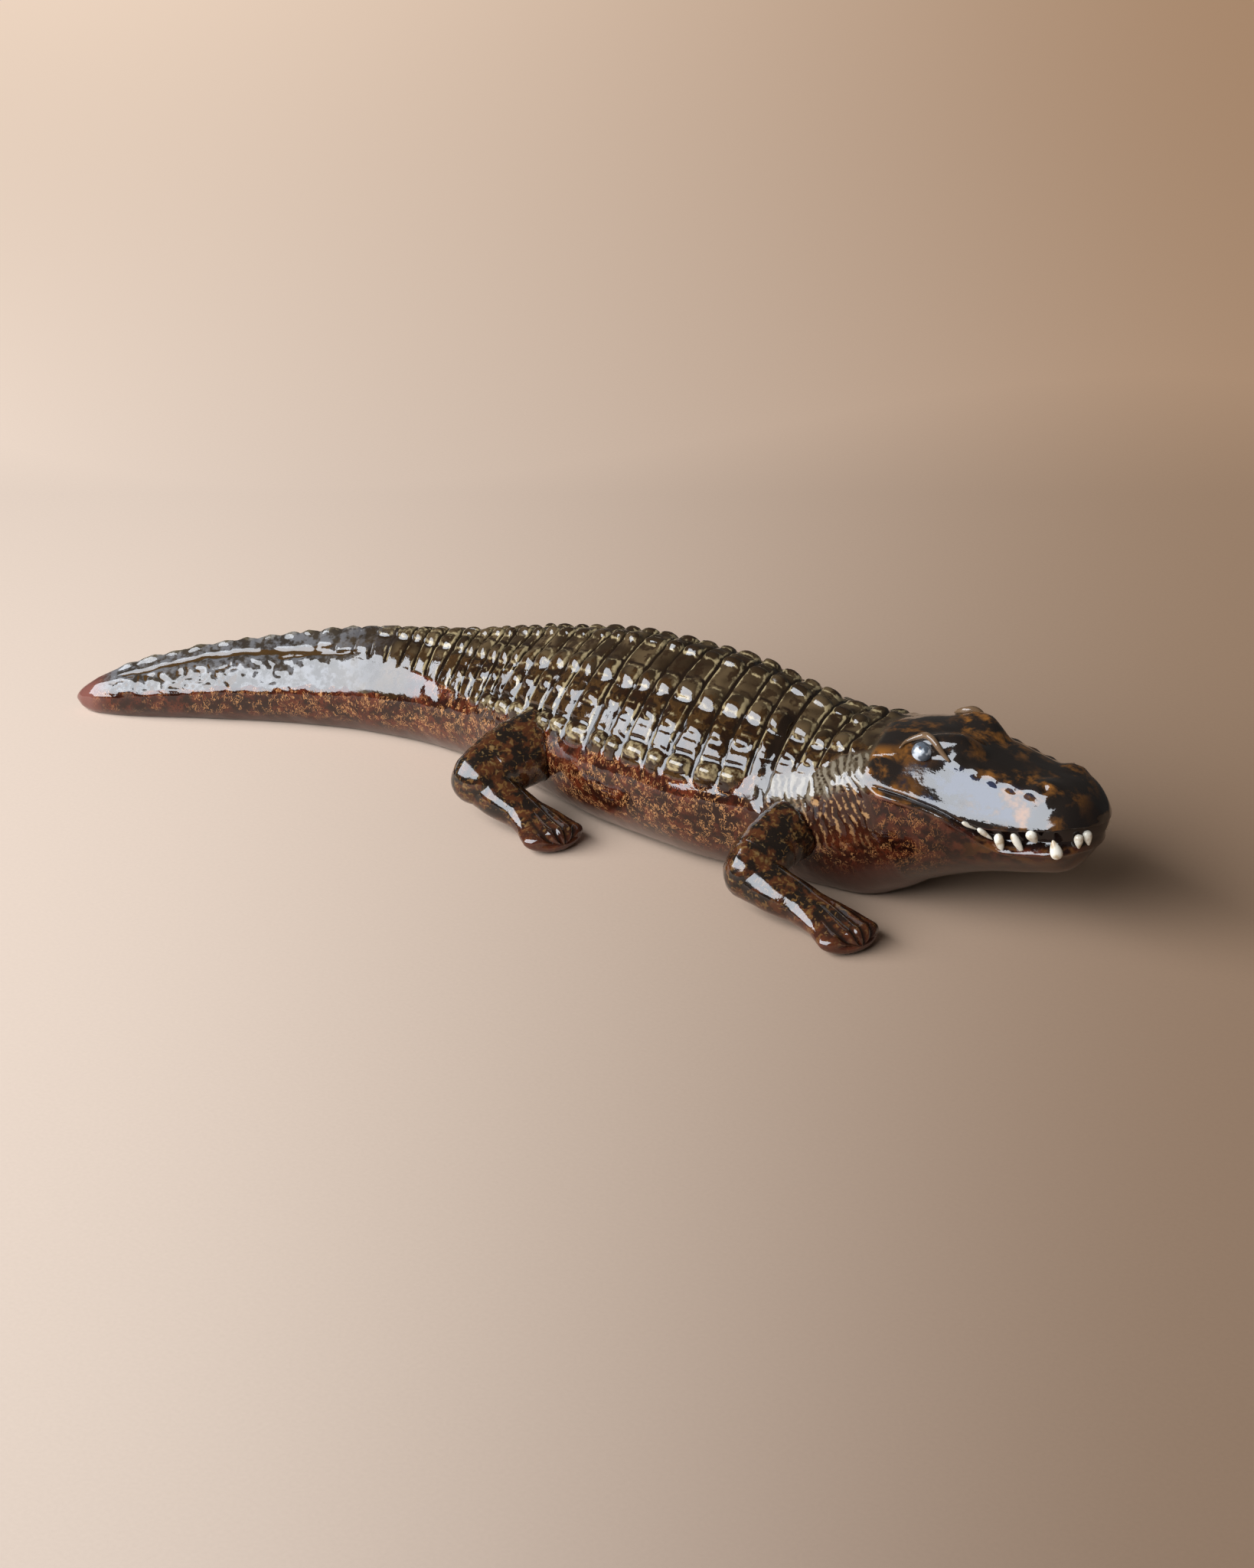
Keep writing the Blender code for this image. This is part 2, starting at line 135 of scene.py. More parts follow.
# The head's section above the mouth line: angle, share of the half width, share of the height
HEAD_SECTION = np.array([
    (0, 0, 1), (0.35, 0.35, 0.98), (0.6, 0.56, 0.91), (0.75, 0.655, 0.8),
    (1.1, 0.84, 0.45), (1.32, 0.955, 0.215), (1.45, 0.99, 0.08), (math.pi / 2, 1, 0),
])
EYE = (148, 0.68)
BROW = (156, 0.52)
NOSTRIL = (184, 0.64)
MOUTH_CORNER = 140
# The mouth: place along X, height of the upper lip's edge, height of the gap below it
MOUTH = np.array([
    (136, 43.8, 0.8), (146, 42.2, 0.9), (157.2, 38.9, 1), (163, 36.6, 1.5), (170, 35.2, 3.6),
    (176, 35.6, 5.8), (184, 37, 6.3), (193, 38.7, 7), (198.5, 38.3, 7),
])
# The edge between neck and head: angle, place along X
HEAD_EDGE = np.array([
    (0, 130), (0.5, 134), (0.9, 135.8), (1.3, 137), (1.6, 139.5), (1.85, 142.5),
    (3.2, 146),
]).T
# The rim of the upper eyelid: place along X, angle
EYELID = (
    (141.6, 0.7), (142.3, 0.59), (144.2, 0.515), (146.8, 0.485), (149.2, 0.53), (152.2, 0.62),
    (155.8, 0.725),
)
# Corners of a ring on trunk and head: angle from which they are so far apart
TRUNK_CORNERS = ((0, 0.029), (1.4, 0.04), (1.95, 0.085), (math.pi, 1))
HEAD_CORNERS = (
    (0, 0.05), (0.45, 0.024), (0.9, 0.045), (1.2, 0.017), (1.5, 0.03), (2.1, 0.085),
    (math.pi, 1),
)

# Teeth of one side: place along X and angle of the root, the same of the tip, width
TEETH = (
    (163.5, 1.4, 168.2, 1.58, 1.5),
    (168.5, 1.46, 172.8, 1.71, 1.8),
    (174.3, 1.58, 175.5, 1.92, 3),
    (178.3, 1.54, 181.5, 1.96, 2.5),
    (183, 1.44, 185.2, 1.75, 3.4),
    (190, 2.08, 189.2, 1.69, 3.8),
    (194.6, 1.72, 194.3, 2.12, 2.9),
    (196.2, 1.72, 196, 2.28, 2.9),
)

# Legs of the right side: centre, half width and half height of the section
UPPER_FORELEG = (
    (112, -18, 22, 14, 12), (113, -30, 22, 11, 10.5), (113, -42, 20, 9.5, 9.2),
    (113, -50, 15.5, 8.8, 8.8),
)
LOWER_FORELEG = (
    (113, -51, 13.5, 8.6, 8.6), (121, -51, 11, 7.6, 7.2), (131, -48.5, 7.8, 7, 5.8),
    (140, -48.5, 6, 8.6, 4.9), (150, -50, 4.2, 10.8, 4.2),
)
UPPER_HINDLEG = (
    (12, -18, 21, 17, 14), (12, -34, 22, 14, 12.5), (10, -48, 20, 12, 11),
    (8.5, -57, 17, 9.8, 9.8),
)
LOWER_HINDLEG = (
    (8.5, -58, 15.5, 9, 9), (15, -58, 12, 7.8, 7.4), (23, -56, 8.2, 7, 5.8),
    (29.5, -55.5, 6, 8.6, 4.9), (38.5, -57, 4.2, 10.8, 4.2),
)

# The camera, as the photograph was taken: the ways back from the figure and to the right
CAMERA_BACK = Vector((0.6348, -0.6713, 0.3827))
CAMERA_RIGHT = Vector((0.7266, 0.6871, 0.0))
CAMERA_PLACE = CAMERA_BACK * 1000 + CAMERA_RIGHT * 11 - CAMERA_BACK.cross(CAMERA_RIGHT) * 6
FOCAL_LENGTH = 70.3

# The studio
FLOOR_REACH = 4.0
WINDOW_PLACE = (-0.183, -0.823, 0.501)
WINDOW_FACING = (0.167, 0.606, -0.778)
WINDOW_SIZE = (1.6, 0.66)
WINDOW_RADIANCE = 9.0
WINDOW_COLOUR = (0.88, 0.93, 1.0)
ROOM_COLOUR = (0.9, 0.84, 0.78, 1.0)
ROOM_STRENGTH = 0.1
# Painted light falloff on the paper: cream where lit at the left, brown at the right
PAINTED_FALLOFF_TONES = (0.8, 0.63, 0.5), (0.29, 0.18, 0.108)

# Colours of the glaze, where a pair makes a cloudy ground: armour and tail
OLIVE = (0.022, 0.012, 0.005), (0.08, 0.051, 0.024)
UMBER = (0.016, 0.006, 0.002), (0.11, 0.052, 0.013)
POOL_BROWN = (0.018, 0.008, 0.003)
CREAM = (0.31, 0.238, 0.125)
GROOVE_BLACK = (0.012, 0.006, 0.003)
# A painted reflection of the window on the tail's upper side, in grey-white
TAIL_PAINTED_REFLECTION = (0.03, 0.024, 0.019), (0.135, 0.132, 0.135)
TAIL_AMBER = (0.06, 0.03, 0.009)
TAIL_TIP_PINK = (0.15, 0.055, 0.042)
# Flanks, neck and legs
FLANK_RED = (0.016, 0.004, 0.002), (0.088, 0.017, 0.006)
FLANK_BLACK = (0.01, 0.003, 0.002)
OCHRE = (0.42, 0.2, 0.075)
BELLY_BROWN = (0.052, 0.017, 0.011)
# A painted highlight on the upper neck folds, pale grey-beige over grey-brown
FOLD_PAINTED_HIGHLIGHT = (0.06, 0.042, 0.024), (0.165, 0.135, 0.095)
LOW_FOLD_TAN = (0.028, 0.008, 0.004), (0.3, 0.165, 0.07)
FOLD_BLACK = (0.012, 0.006, 0.004)
LEG_RED = (0.01, 0.006, 0.004), (0.06, 0.018, 0.006)
LEG_AMBER = (0.135, 0.068, 0.02)
LEG_OLIVE = (0.19, 0.125, 0.052)
SOLE_RED = (0.09, 0.022, 0.01)
# Head and teeth
SKULL_AMBER = (0.013, 0.009, 0.007), (0.3, 0.112, 0.018)
NOSE_BLACK = (0.009, 0.006, 0.005)
# A painted reflection of the window on the cheek, in blue
CHEEK_REFLECTION_BLUE = (0.027, 0.035, 0.068)
LID_BROWN = (0.16, 0.095, 0.05)
JAW_RED = (0.012, 0.003, 0.002), (0.06, 0.013, 0.006)
JAW_FLECK = (0.36, 0.15, 0.05)
JAW_AMBER = (0.15, 0.058, 0.014)
# A painted highlight on the jowl, in pink, and painted shade under the jaw
JOWL_PAINTED_HIGHLIGHT = (0.24, 0.085, 0.06)
THROAT_SHADE = (0.03, 0.012, 0.008)
# Painted shade, black, in the mouth gap and the eye socket
GAP_SHADE_BLACK = (0.01, 0.005, 0.004)
EYE_MILK = (0.085, 0.1, 0.12), (0.5, 0.53, 0.56)
TOOTH = (0.74, 0.69, 0.58), (0.45, 0.34, 0.21)
GLAZE_IOR = 1.6
TOOTH_IOR = 1.5


def through(x, at, value):
    """A smooth curve through the points (at, value) that never overshoots them."""
    gap = np.diff(at)
    slope = np.diff(value) / gap
    inner = np.zeros(len(at))
    same = slope[1:] * slope[:-1] > 0
    w1, w2 = 2 * gap[1:] + gap[:-1], gap[1:] + 2 * gap[:-1]
    safe = np.where(slope == 0, 1.0, slope)
    inner[1:-1] = np.where(same, (w1 + w2) / (w1 / safe[:-1] + w2 / safe[1:]), 0)
    inner[0], inner[-1] = slope[0], slope[-1]
    i = np.clip(np.searchsorted(at, x) - 1, 0, len(gap) - 1)
    t = np.clip((x - at[i]) / gap[i], 0, 1)
    return (
        value[i] * (1 + 2 * t) * (1 - t) ** 2
        + value[i + 1] * t**2 * (3 - 2 * t)
        + gap[i] * t * (1 - t) * (inner[i] * (1 - t) - inner[i + 1] * t)
    )


def fade(x, start, end):
    """0 before start, 1 after end, and smooth between."""
    t = np.clip((x - start) / (end - start), 0, 1)
    return t * t * (3 - 2 * t)


def bump(distance, radius):
    """1 at the middle, falling smoothly to 0 at the radius."""
    return np.clip(1 - (distance / radius) ** 2, 0, 1) ** 2


def powered(value, power):
    """A value's size raised to a power, with its sign kept."""
    return np.sign(value) * np.abs(value) ** power


def chance(*keys):
    """An even spread of values from 0 to 1, the same each time for the same keys."""
    weights = (12.9898, 78.233, 37.719)
    total = sum(np.asarray(key, float) * weight for key, weight in zip(keys, weights))
    return np.modf(np.abs(np.sin(total) * 43758.5453))[0]


def band_edges():
    """Places along X of the grooves between the bands, a little uneven as hand carving is."""
    index = np.arange(-24, 20)
    place = np.interp(index, BANDS[:, 1], BANDS[:, 0])
    return index, place + 0.7 * (chance(index, 3) - 0.5)


BAND_INDEX, BAND_PLACE = band_edges()


def armour(x, phi, grain, fine):
    """The back armour: how far it stands out, and where its glaze is thin, pooled and olive."""
    side, hand = np.abs(phi), np.sign(phi)
    radius = 0.5 * (through(x, X, HALF_WIDTH) + through(x, X, BACK) - through(x, X, WIDEST))
    wander = 0.5 * np.sin(2.3 * phi + 0.21 * x) + 0.3 * np.sin(5.1 * phi - 0.33 * x) + 0.5 * fine
    band = np.interp(x + wander * fade(x, -100, -60), BAND_PLACE, BAND_INDEX)
    index = np.floor(band)
    phase = band - index
    to_groove = np.minimum(phase, 1 - phase) * np.interp(x, *BAND_PITCH)
    margin = np.interp(x, *MARGIN)
    margin = margin + 0.05 * (1 - (2 * phase - 1) ** 2) * fade(x, -60, -20)
    edge = head_edge(side)
    plate = fade(x, -112, -88) * (1 - fade(x, edge - 3, edge))
    plate = plate * (1 - fade(side, margin - 0.03, margin + 0.02))
    flat = fade(to_groove, 0.1, 0.95 + 0.35 * fine)
    faint = 1 - 0.7 * fade(-x, 58, 76) * (1 - fade(side, 0.45, 0.7))
    out = (PLATE_STEP - GROOVE_DEPTH * (1 - flat) * faint) * plate
    thin = plate * faint * bump(to_groove - 0.95, 0.5) * (0.85 + 0.5 * grain)
    pooled = plate * faint * (1 - fade(to_groove, 0.2, 0.7))

    # The rows of bosses, each boss a little off its place, with a rim and pits beside it
    meet = np.clip((x - ROWS_MEET) / 72, 0, 1)
    boss = np.zeros_like(x)
    for row, (angle, height, half_length, half_width, start, end) in enumerate(ROWS):
        angle = (angle * meet if angle < 0.7 else angle) + 0.022 * (chance(index, row, hand) - 0.5)
        middle = 0.5 + 0.12 * (chance(index, row + 7, hand) - 0.5)
        tall = height * (0.8 + 0.4 * chance(index, row + 13, hand))
        along = (phase - middle) / half_length
        across = (side - angle) * radius / half_width
        far = (np.abs(along) ** 2.6 + np.abs(across) ** 2.3) ** 0.85
        there = fade(x, start, start + 22) * (1 - fade(x, end - 3, end + 1))
        there = there * (1 - fade(x, edge - 5, edge - 2))
        dome = np.clip(1 - far, 0, 1) ** 0.7
        ridge = 0.8 * (1 - meet) * bump(side - angle, 0.13)
        rise = tall * there * np.maximum(dome * (0.45 + 0.55 * meet), ridge)
        boss = np.maximum(boss, rise)
        thin = np.maximum(thin, 0.72 * there * bump(far - 0.85, 0.5) * plate)
        pit = there * bump(far - 1.7, 0.75) * fade(np.abs(across), 0.3, 0.8)
        pit = pit * fade(-np.abs(along), -1.2, -0.8)
        if row == LOWEST_ROW:
            thin = np.maximum(thin, 0.62 * there * dome)
            out = out - 1.3 * pit * (side < angle)
            pooled = np.maximum(pooled, pit * (side < angle))
        elif row > 0:
            out = out - 0.45 * pit * (side > angle)
            pooled = np.maximum(pooled, pit * (0.4 + 0.4 * chance(index, row + 23, hand)))
        if row == 1:
            thin = np.maximum(thin, 0.7 * there * (1 - meet) * dome)
    out = out + boss
    tail_out, tail_thin, tail_pooled, tail_zone = tail_top(x, side, phase, grain, fine)
    thin, pooled = np.maximum(thin, tail_thin), np.maximum(pooled, tail_pooled)
    return out + tail_out, thin, pooled, np.maximum(plate, tail_zone)


def tail_top(x, side, phase, grain, fine):
    """The tail's toothed crest, the channel below it, and wrinkles towards the tip."""
    crest = fade(x, -162, -146) * (1 - fade(x, ROWS_MEET, ROWS_MEET + 16))
    peak = 0.45 + 0.55 * np.clip(1 - np.abs(phase - 0.55 + 0.2 * fine) * 2.2, 0, 1) ** 0.9
    line = 0.5 + 0.05 * np.sin(0.11 * x) + 0.06 * fine
    channel = fade(x, -156, -146) * (1 - fade(x, -96, -88)) * bump(side - line, 0.14)
    branch = fade(x, -112, -106) * (1 - fade(x, -84, -78)) * bump(side - 0.66 - 0.05 * fine, 0.07)
    channel = np.maximum(channel, branch)
    wrinkled = fade(x, -160, -150) * (1 - fade(x, -112, -92))
    wrinkled = wrinkled * fade(side, 0.6, 0.75) * (1 - fade(side, 1.2, 1.4))
    fold = np.sin((x + 2.6 * grain + 4.0 * fine) * 2 * math.pi / 3.6 + 3.5 * side)
    out = CREST_HEIGHT * crest * bump(side, 0.26) * peak - 0.8 * channel + 0.2 * wrinkled * fold
    thin = np.maximum(crest * bump(side, 0.3) * peak, 0.45 * wrinkled * fade(fold, -0.2, 0.8))
    pooled = np.maximum(channel, wrinkled * fade(-fold, 0.35, 1.0) * fade(-x, 112, 126))
    border = 1.28 + 0.12 * fine + 0.06 * grain
    border = border + 0.12 * fade(-x, 100, 60) - 0.25 * fade(-x, 140, 160)
    zone = fade(x, -161, -154) * (1 - fade(x, -70, -50))
    zone = zone * (1 - fade(side, border - 0.03, border + 0.04))
    return out, thin, pooled, zone


def head_edge(side):
    """Place along X of the edge between neck and head."""
    return through(side, *HEAD_EDGE)


def neck_folds(x, phi, grain, fine):
    """The folds of skin that run down and forward on the neck, behind the jaw."""
    side = np.abs(phi)
    margin = np.interp(x, *MARGIN)
    edge = head_edge(side)
    fold = ((x - 13 * (side - 1) + 2.0 * grain + 1.0 * fine) / FOLD_PITCH) % 1.0
    where = fade(x, 96, 101) * (1 - fade(x, edge - 2, edge + 0.5))
    where = where * fade(side, margin - 0.05, margin + 0.12) * (1 - fade(side, 2.1, 2.5))
    ridge = np.clip(1 - np.abs(2 * fold - 1), 0, 1) ** 0.8
    deep = fade(x, 98.5, 100.5) * (1 - fade(x, 102, 104))
    deep = deep * fade(side, 0.35, 0.6) * (1 - fade(side, 1.3, 1.6))
    tall = FOLD_HEIGHT * (0.4 + 0.35 * fade(side, 1.35, 1.6) + 0.3 * grain)
    out = tall * ridge * where - 1.1 * deep
    return out, ridge * where, np.maximum(where * fade(-ridge, -0.3, -0.08), deep)


def head_relief(x, phi, height):
    """The carving of the head, and the marks of eye, nostril, head, mouth gap and jowl."""
    side = np.abs(phi)
    edge = head_edge(side)
    to_eye = np.hypot((x - EYE[0]) / 1.35, (side - EYE[1] - 0.012 * (x - EYE[0])) * 19)
    out = -SOCKET_DEPTH * bump(to_eye, SOCKET_RADIUS)

    # The brow is steep towards the snout and the cheek, and long towards the neck
    from_brow = side - BROW[1] + 0.04 + 0.012 * np.clip(x - 150, -6, 9)
    from_brow = from_brow * np.where(from_brow > 0, 25.0, 16.0)
    ahead = (x - BROW[0]) / np.where(x > BROW[0], 1.35, 2.4)
    out = out + BROW_HEIGHT * bump(np.hypot(ahead, from_brow), 6.8)
    out = out + 0.8 * bump(np.hypot((x - 143) / 2.2, side * 14), 7.5)

    # A knobbly ridge runs from the eye to the nostril
    canthus = np.interp(x, (152, 158, 186), (0.6, 0.7, 0.76))
    ridge = bump(side - canthus, 0.16) * fade(x, 152, 158) * (1 - fade(x, 178, 188))
    out = out + (0.7 + 0.3 * np.sin(x * 2 * math.pi / 5.6)) * ridge
    fold = bump(side - 0.8 - 0.012 * (141 - x), 0.05) * fade(x, 133, 137)
    out = out - 0.5 * fold * (1 - fade(x, 140, 143))
    to_nostril = np.hypot(x - NOSTRIL[0], (side - NOSTRIL[1]) * 10)
    out = out + 1.5 * bump(to_nostril, 5.5) - 2.0 * bump(to_nostril, 1.5)

    mouth, gap, jowl = mouth_relief(x, side, height)
    out = out + mouth + 0.9 * bump(np.hypot((x - 141) / 1.5, (side - 1.75) * 16), 5.5)
    back = fade(x, edge - 1.5, edge + 0.6) * (1 - fade(x, edge + 3, edge + 16))
    out = out + 0.55 * back * (1 - fade(side, 2.2, 2.7))
    marks = {
        "eye": bump(to_eye, 3.2) ** 0.8,
        "nostril": bump(to_nostril, 2.0),
        "head": fade(x, edge - 1.2, edge + 0.8),
        "gap": gap,
        "jowl": jowl,
    }
    return out, marks


def mouth_relief(x, side, height):
    """The gap of the mouth, the jowl below it, and the set back of the jaw and chin."""
    lip, deep = (through(x, MOUTH[:, 0], column) for column in MOUTH.T[1:])
    below = lip - height
    there = fade(x, MOUTH_CORNER - 1.5, MOUTH_CORNER + 1.0) * fade(side, 0.9, 1.1)
    gap = fade(below, -0.25, 0.25) * (1 - fade(below, deep - 0.5, deep + 0.3)) * there
    out = -gap * (LIP_DEPTH + (MOUTH_DEPTH - LIP_DEPTH) * fade(deep, 1.2, 4.5))
    jowl = bump(below - deep - 0.9, 1.8) * there
    out = out + (1.2 - 0.9 * fade(x, 144, 153)) * jowl
    jaw = fade(below, deep + 1.0, deep + 3.0) * (1 - fade(side, 2.4, 2.9)) * fade(x, 152, 176)
    out = out - 1.6 * jaw - 1.4 * fade(below, deep - 1.0, deep + 4.0) * fade(x, 190, 196)
    return out, gap, jowl


def body_skin(x, phi, grain=0.0, fine=0.0, carved=1.0):
    """Points of the skin in drawn millimetres, and the marks that the glaze follows there."""
    spine = through(x, X, SPINE)
    ahead = through(x + 0.5, X, SPINE) - through(x - 0.5, X, SPINE)
    right = np.stack([ahead, -np.ones_like(x)], -1) / np.hypot(1, ahead)[..., None]
    to_snout = np.clip((x - X[-1] + SNOUT_ROUND) / SNOUT_ROUND, 0, 1)
    to_tail = np.clip((X[0] + TAIL_ROUND - x) / TAIL_ROUND, 0, 1)
    close = np.sqrt((1 - to_snout**2) * (1 - to_tail**2))
    middle = through(x, X, WIDEST)
    wide = through(x, X, HALF_WIDTH) * close
    above = np.cos(phi) >= 0
    tall = np.where(above, through(x, X, BACK) - middle, middle - through(x, X, BELLY)) * close
    power = 2 / np.where(above, through(x, X, SQUARE_ABOVE), through(x, X, SQUARE_BELOW))
    across = wide * powered(np.sin(phi), power)
    up = tall * powered(np.cos(phi), power)
    shaped = fade(x, 130, 146) * above
    side = np.clip(np.abs(phi), 0, math.pi / 2)
    cheek, crown = (through(side, HEAD_SECTION[:, 0], share) for share in HEAD_SECTION.T[1:])
    across = across + (wide * np.sign(np.sin(phi)) * cheek - across) * shaped
    up = up + (tall * crown - up) * shaped
    lean = np.stack([across / (wide + 0.1) ** 2, up / (tall + 0.1) ** 2], -1)
    lean = lean / (np.linalg.norm(lean, axis=-1, keepdims=True) + 1e-9)
    plates, thin, pooled, where = armour(x, phi, grain, fine)
    folds, fold_ridge, fold_line = neck_folds(x, phi, grain, fine)
    head, carving = head_relief(x, phi, middle + up)
    out = (plates + folds + head) * close * carved
    across = across + lean[..., 0] * out
    height = np.maximum(middle + up + lean[..., 1] * out, 0)
    points = np.stack([x + right[..., 0] * across, spine + right[..., 1] * across, height], -1)
    marks = {
        # The jowl's share of the thin mark also places its painted pink highlight
        "thin": np.maximum(np.maximum(thin, fold_ridge), 0.8 * carving["jowl"]),
        "pooled": np.maximum(np.maximum(pooled, carving["nostril"]), fold_line),
        "armour": where,
        "head": carving["head"],
        # The mouth mark sets where shade is painted black: the mouth gap and the eye socket's ring
        "mouth": np.maximum(carving["gap"], carving["eye"]),
        "around": np.abs(phi),
        "along": x,
    }
    return points, marks


def spaced(stops):
    """Values that run through the stops (value, step), each stretch in even steps near its own."""
    out = []
    for (start, step), (end, _) in zip(stops, stops[1:]):
        count = max(1, round((end - start) / step))
        out += list(np.linspace(start, end, count, endpoint=False))
    return out


def ring_places():
    """Places along X of the rings: close at the grooves of each band, and on the head."""
    shares = (0.0, 0.065, 0.15, 0.28, 0.43, 0.57, 0.72, 0.85, 0.935)
    bands = [np.interp(i + s, BAND_INDEX, BAND_PLACE) for i in range(-23, 18) for s in shares]
    tail = [X[0] + TAIL_ROUND * (1 - math.cos(a)) for a in np.linspace(0.1, 1.5, 10)]
    bands = [place for place in bands if place > tail[-1] + 0.5]
    snout = X[-1] - SNOUT_ROUND
    head = spaced(((bands[-1] + 0.8, 0.75), (140.0, 0.55), (157.0, 0.8), (snout, 0.75)))
    tip = [snout + SNOUT_ROUND * math.sin(a) for a in np.linspace(0.0, 1.5, 22)]
    return np.array(tail + bands + head + tip)


def ring_angles(x):
    """Angles of the ring's corners at each place along X, close where the carving is fine."""
    trunk, head = (np.array(spaced(stops) + [math.pi]) for stops in (TRUNK_CORNERS, HEAD_CORNERS))
    head = np.interp(np.linspace(0, 1, len(trunk)), np.linspace(0, 1, len(head)), head)
    share = fade(x, 122, 134)[:, None]
    half = trunk * (1 - share) + head * share
    return np.concatenate([half, -half[:, -2:0:-1]], axis=1)


def in_frame(points):
    """Points in drawn millimetres as points of the frame, in metres."""
    return points * UNIT + np.array(DRAWN_ORIGIN)


def in_scene(name, data):
    """A new object, linked in the scene."""
    built = bpy.data.objects.new(name, data)
    bpy.context.scene.collection.objects.link(built)
    return built


def tube(name, rings, first_tip, last_tip, marks):
    """A closed mesh over rings of equal count, in drawn millimetres, with its marks."""
    count, sides = rings.shape[:2]
    points = in_frame(np.concatenate([rings.reshape(-1, 3), [first_tip, last_tip]]))
    at = np.arange(count * sides).reshape(count, sides)
    before = np.roll(at, 1, axis=1)
    quads = np.stack([before[:-1], at[:-1], at[1:], before[1:]], -1).reshape(-1, 4)
    faces = quads.tolist()
    faces += [(a, b, count * sides) for a, b in zip(at[0], before[0])]
    faces += [(b, a, count * sides + 1) for a, b in zip(at[-1], before[-1])]
    mesh = bpy.data.meshes.new(name)
    mesh.from_pydata(points.tolist(), [], faces)
    for mark in MARKS:
        values = np.zeros(len(points), np.float32)
        values[:-2] = np.broadcast_to(marks.get(mark, 0.0), (count, sides)).reshape(-1)
        mesh.attributes.new(mark, "FLOAT", "POINT").data.foreach_set("value", values)
    return in_scene(name, mesh)


def grain_at(points, size, seed):
    """Smooth noise between -1 and 1 at points in drawn millimetres."""
    shift = Vector((seed * 7.3, seed * 3.1, seed * 5.7))
    flat = points.reshape(-1, 3) / size
    values = np.array([noise.noise(Vector(point) + shift) for point in flat])
    return values.reshape(points.shape[:-1])


def body():
    x = ring_places()
    phi = ring_angles(x)
    x = np.repeat(x[:, None], phi.shape[1], axis=1)
    plain, _ = body_skin(x, phi)
    points, marks = body_skin(x, phi, grain_at(plain, 9.0, 1), grain_at(plain, 3.6, 4))
    tips, _ = body_skin(np.array([X[0], X[-1]]), np.zeros(2))
    return tube("crocodile_body", points, tips[0], tips[1], marks)


def unit(vectors):
    """Vectors cut or drawn out to a length of 1."""
    return vectors / np.linalg.norm(vectors, axis=-1, keepdims=True)


def circle(sides, first, second):
    """Corners of a circle of radius 1 in the plane of two directions."""
    turn = np.arange(sides)[:, None] * 2 * math.pi / sides
    return np.cos(turn) * first + np.sin(turn) * second


def eyeball(hand):
    """The eyeball of one side as a closed shell, with its centre and the way that it faces."""
    spots = np.array([EYE, (EYE[0] + 1, EYE[1]), (EYE[0], EYE[1] + 0.05)]) - (0.5, 0.005)
    (middle, on, down), _ = body_skin(spots[:, 0], hand * spots[:, 1], carved=0.0)
    outward = unit(np.cross(on - middle, down - middle) * hand)
    outward = outward if outward[2] > 0 else -outward
    ahead = unit(on - middle)
    heart = middle + outward * (EYE_RISE - EYE_RADIUS)
    rim = circle(EYE_SIDES, ahead, np.cross(outward, ahead))
    turns = np.linspace(0.15, 2.2, EYE_RINGS)
    rings = [heart + EYE_RADIUS * (outward * math.cos(a) + math.sin(a) * rim) for a in turns]
    tips = heart + outward * EYE_RADIUS, heart - outward * EYE_RADIUS
    return tube("eyeball", np.array(rings), *tips, {"eye": 1.0, "head": 1.0}), heart, outward


def eyelid(hand, heart, outward):
    """The rim of the upper lid of one side, a thin bent roll over the eyeball."""
    corner, step = np.arange(float(len(EYELID))), np.linspace(0, len(EYELID) - 1, LID_RINGS)
    x, side = (through(step, corner, np.array(column)) for column in zip(*EYELID))
    line, _ = body_skin(x, hand * side, carved=0.0)
    carved_line, _ = body_skin(x, hand * side)
    far, carved_far = (np.linalg.norm(points - heart, axis=1) for points in (line, carved_line))
    line = np.where((carved_far > far)[:, None], carved_line, line)
    forward = unit(np.gradient(line, axis=0))
    closing = np.sin(np.linspace(0.12, math.pi - 0.12, LID_RINGS)) ** 0.6
    width = LID_RADIUS * closing * np.linspace(0.5, 1.25, LID_RINGS)
    rings = []
    for place, on, radius in zip(line, forward, width):
        over = unit(np.cross(np.cross(on, outward), on))
        rings.append(place + over * 0.15 + radius * circle(LID_SIDES, np.cross(on, over), over))
    tips = line[0] - forward[0] * 0.3, line[-1] + forward[-1] * 0.3
    return tube("eyelid", np.array(rings), *tips, {"head": 1.0, "thin": 1.0, "along": 150.0})


def eyes():
    """An eyeball and the rim of the upper lid on both sides, as closed shells."""
    built = []
    for hand in (1, -1):
        ball, heart, outward = eyeball(hand)
        built += [ball, eyelid(hand, heart, outward)]
    return built


def limb_stations(path, steps, blunt):
    """Centres, directions and half sizes along a smooth path, rounded off at its two ends."""
    path = np.array(path, float)
    at = np.arange(len(path), dtype=float)
    line = np.stack([through(np.linspace(0, at[-1], steps), at, column) for column in path.T], -1)
    ahead = unit(np.gradient(line[:, :3], axis=0))
    first, last = line[0], line[-1]
    reach_back, reach_on = ahead[0] * first[4], ahead[-1] * last[4] * 1.2
    stations = [
        (first[:3] - reach_back * math.sin(a), ahead[0], first[3:] * math.cos(a))
        for a in np.linspace(1.45, 0.2, 7)
    ]
    stations += [(point[:3], forward, point[3:]) for point, forward in zip(line, ahead)]
    for a in np.linspace(0.12, 1.48, 12):
        size = last[3:] * np.array([math.cos(a) ** blunt, math.cos(a)])
        stations.append((last[:3] + reach_on * math.sin(a), ahead[-1], size))
    return stations, first[:3] - reach_back, last[:3] + reach_on


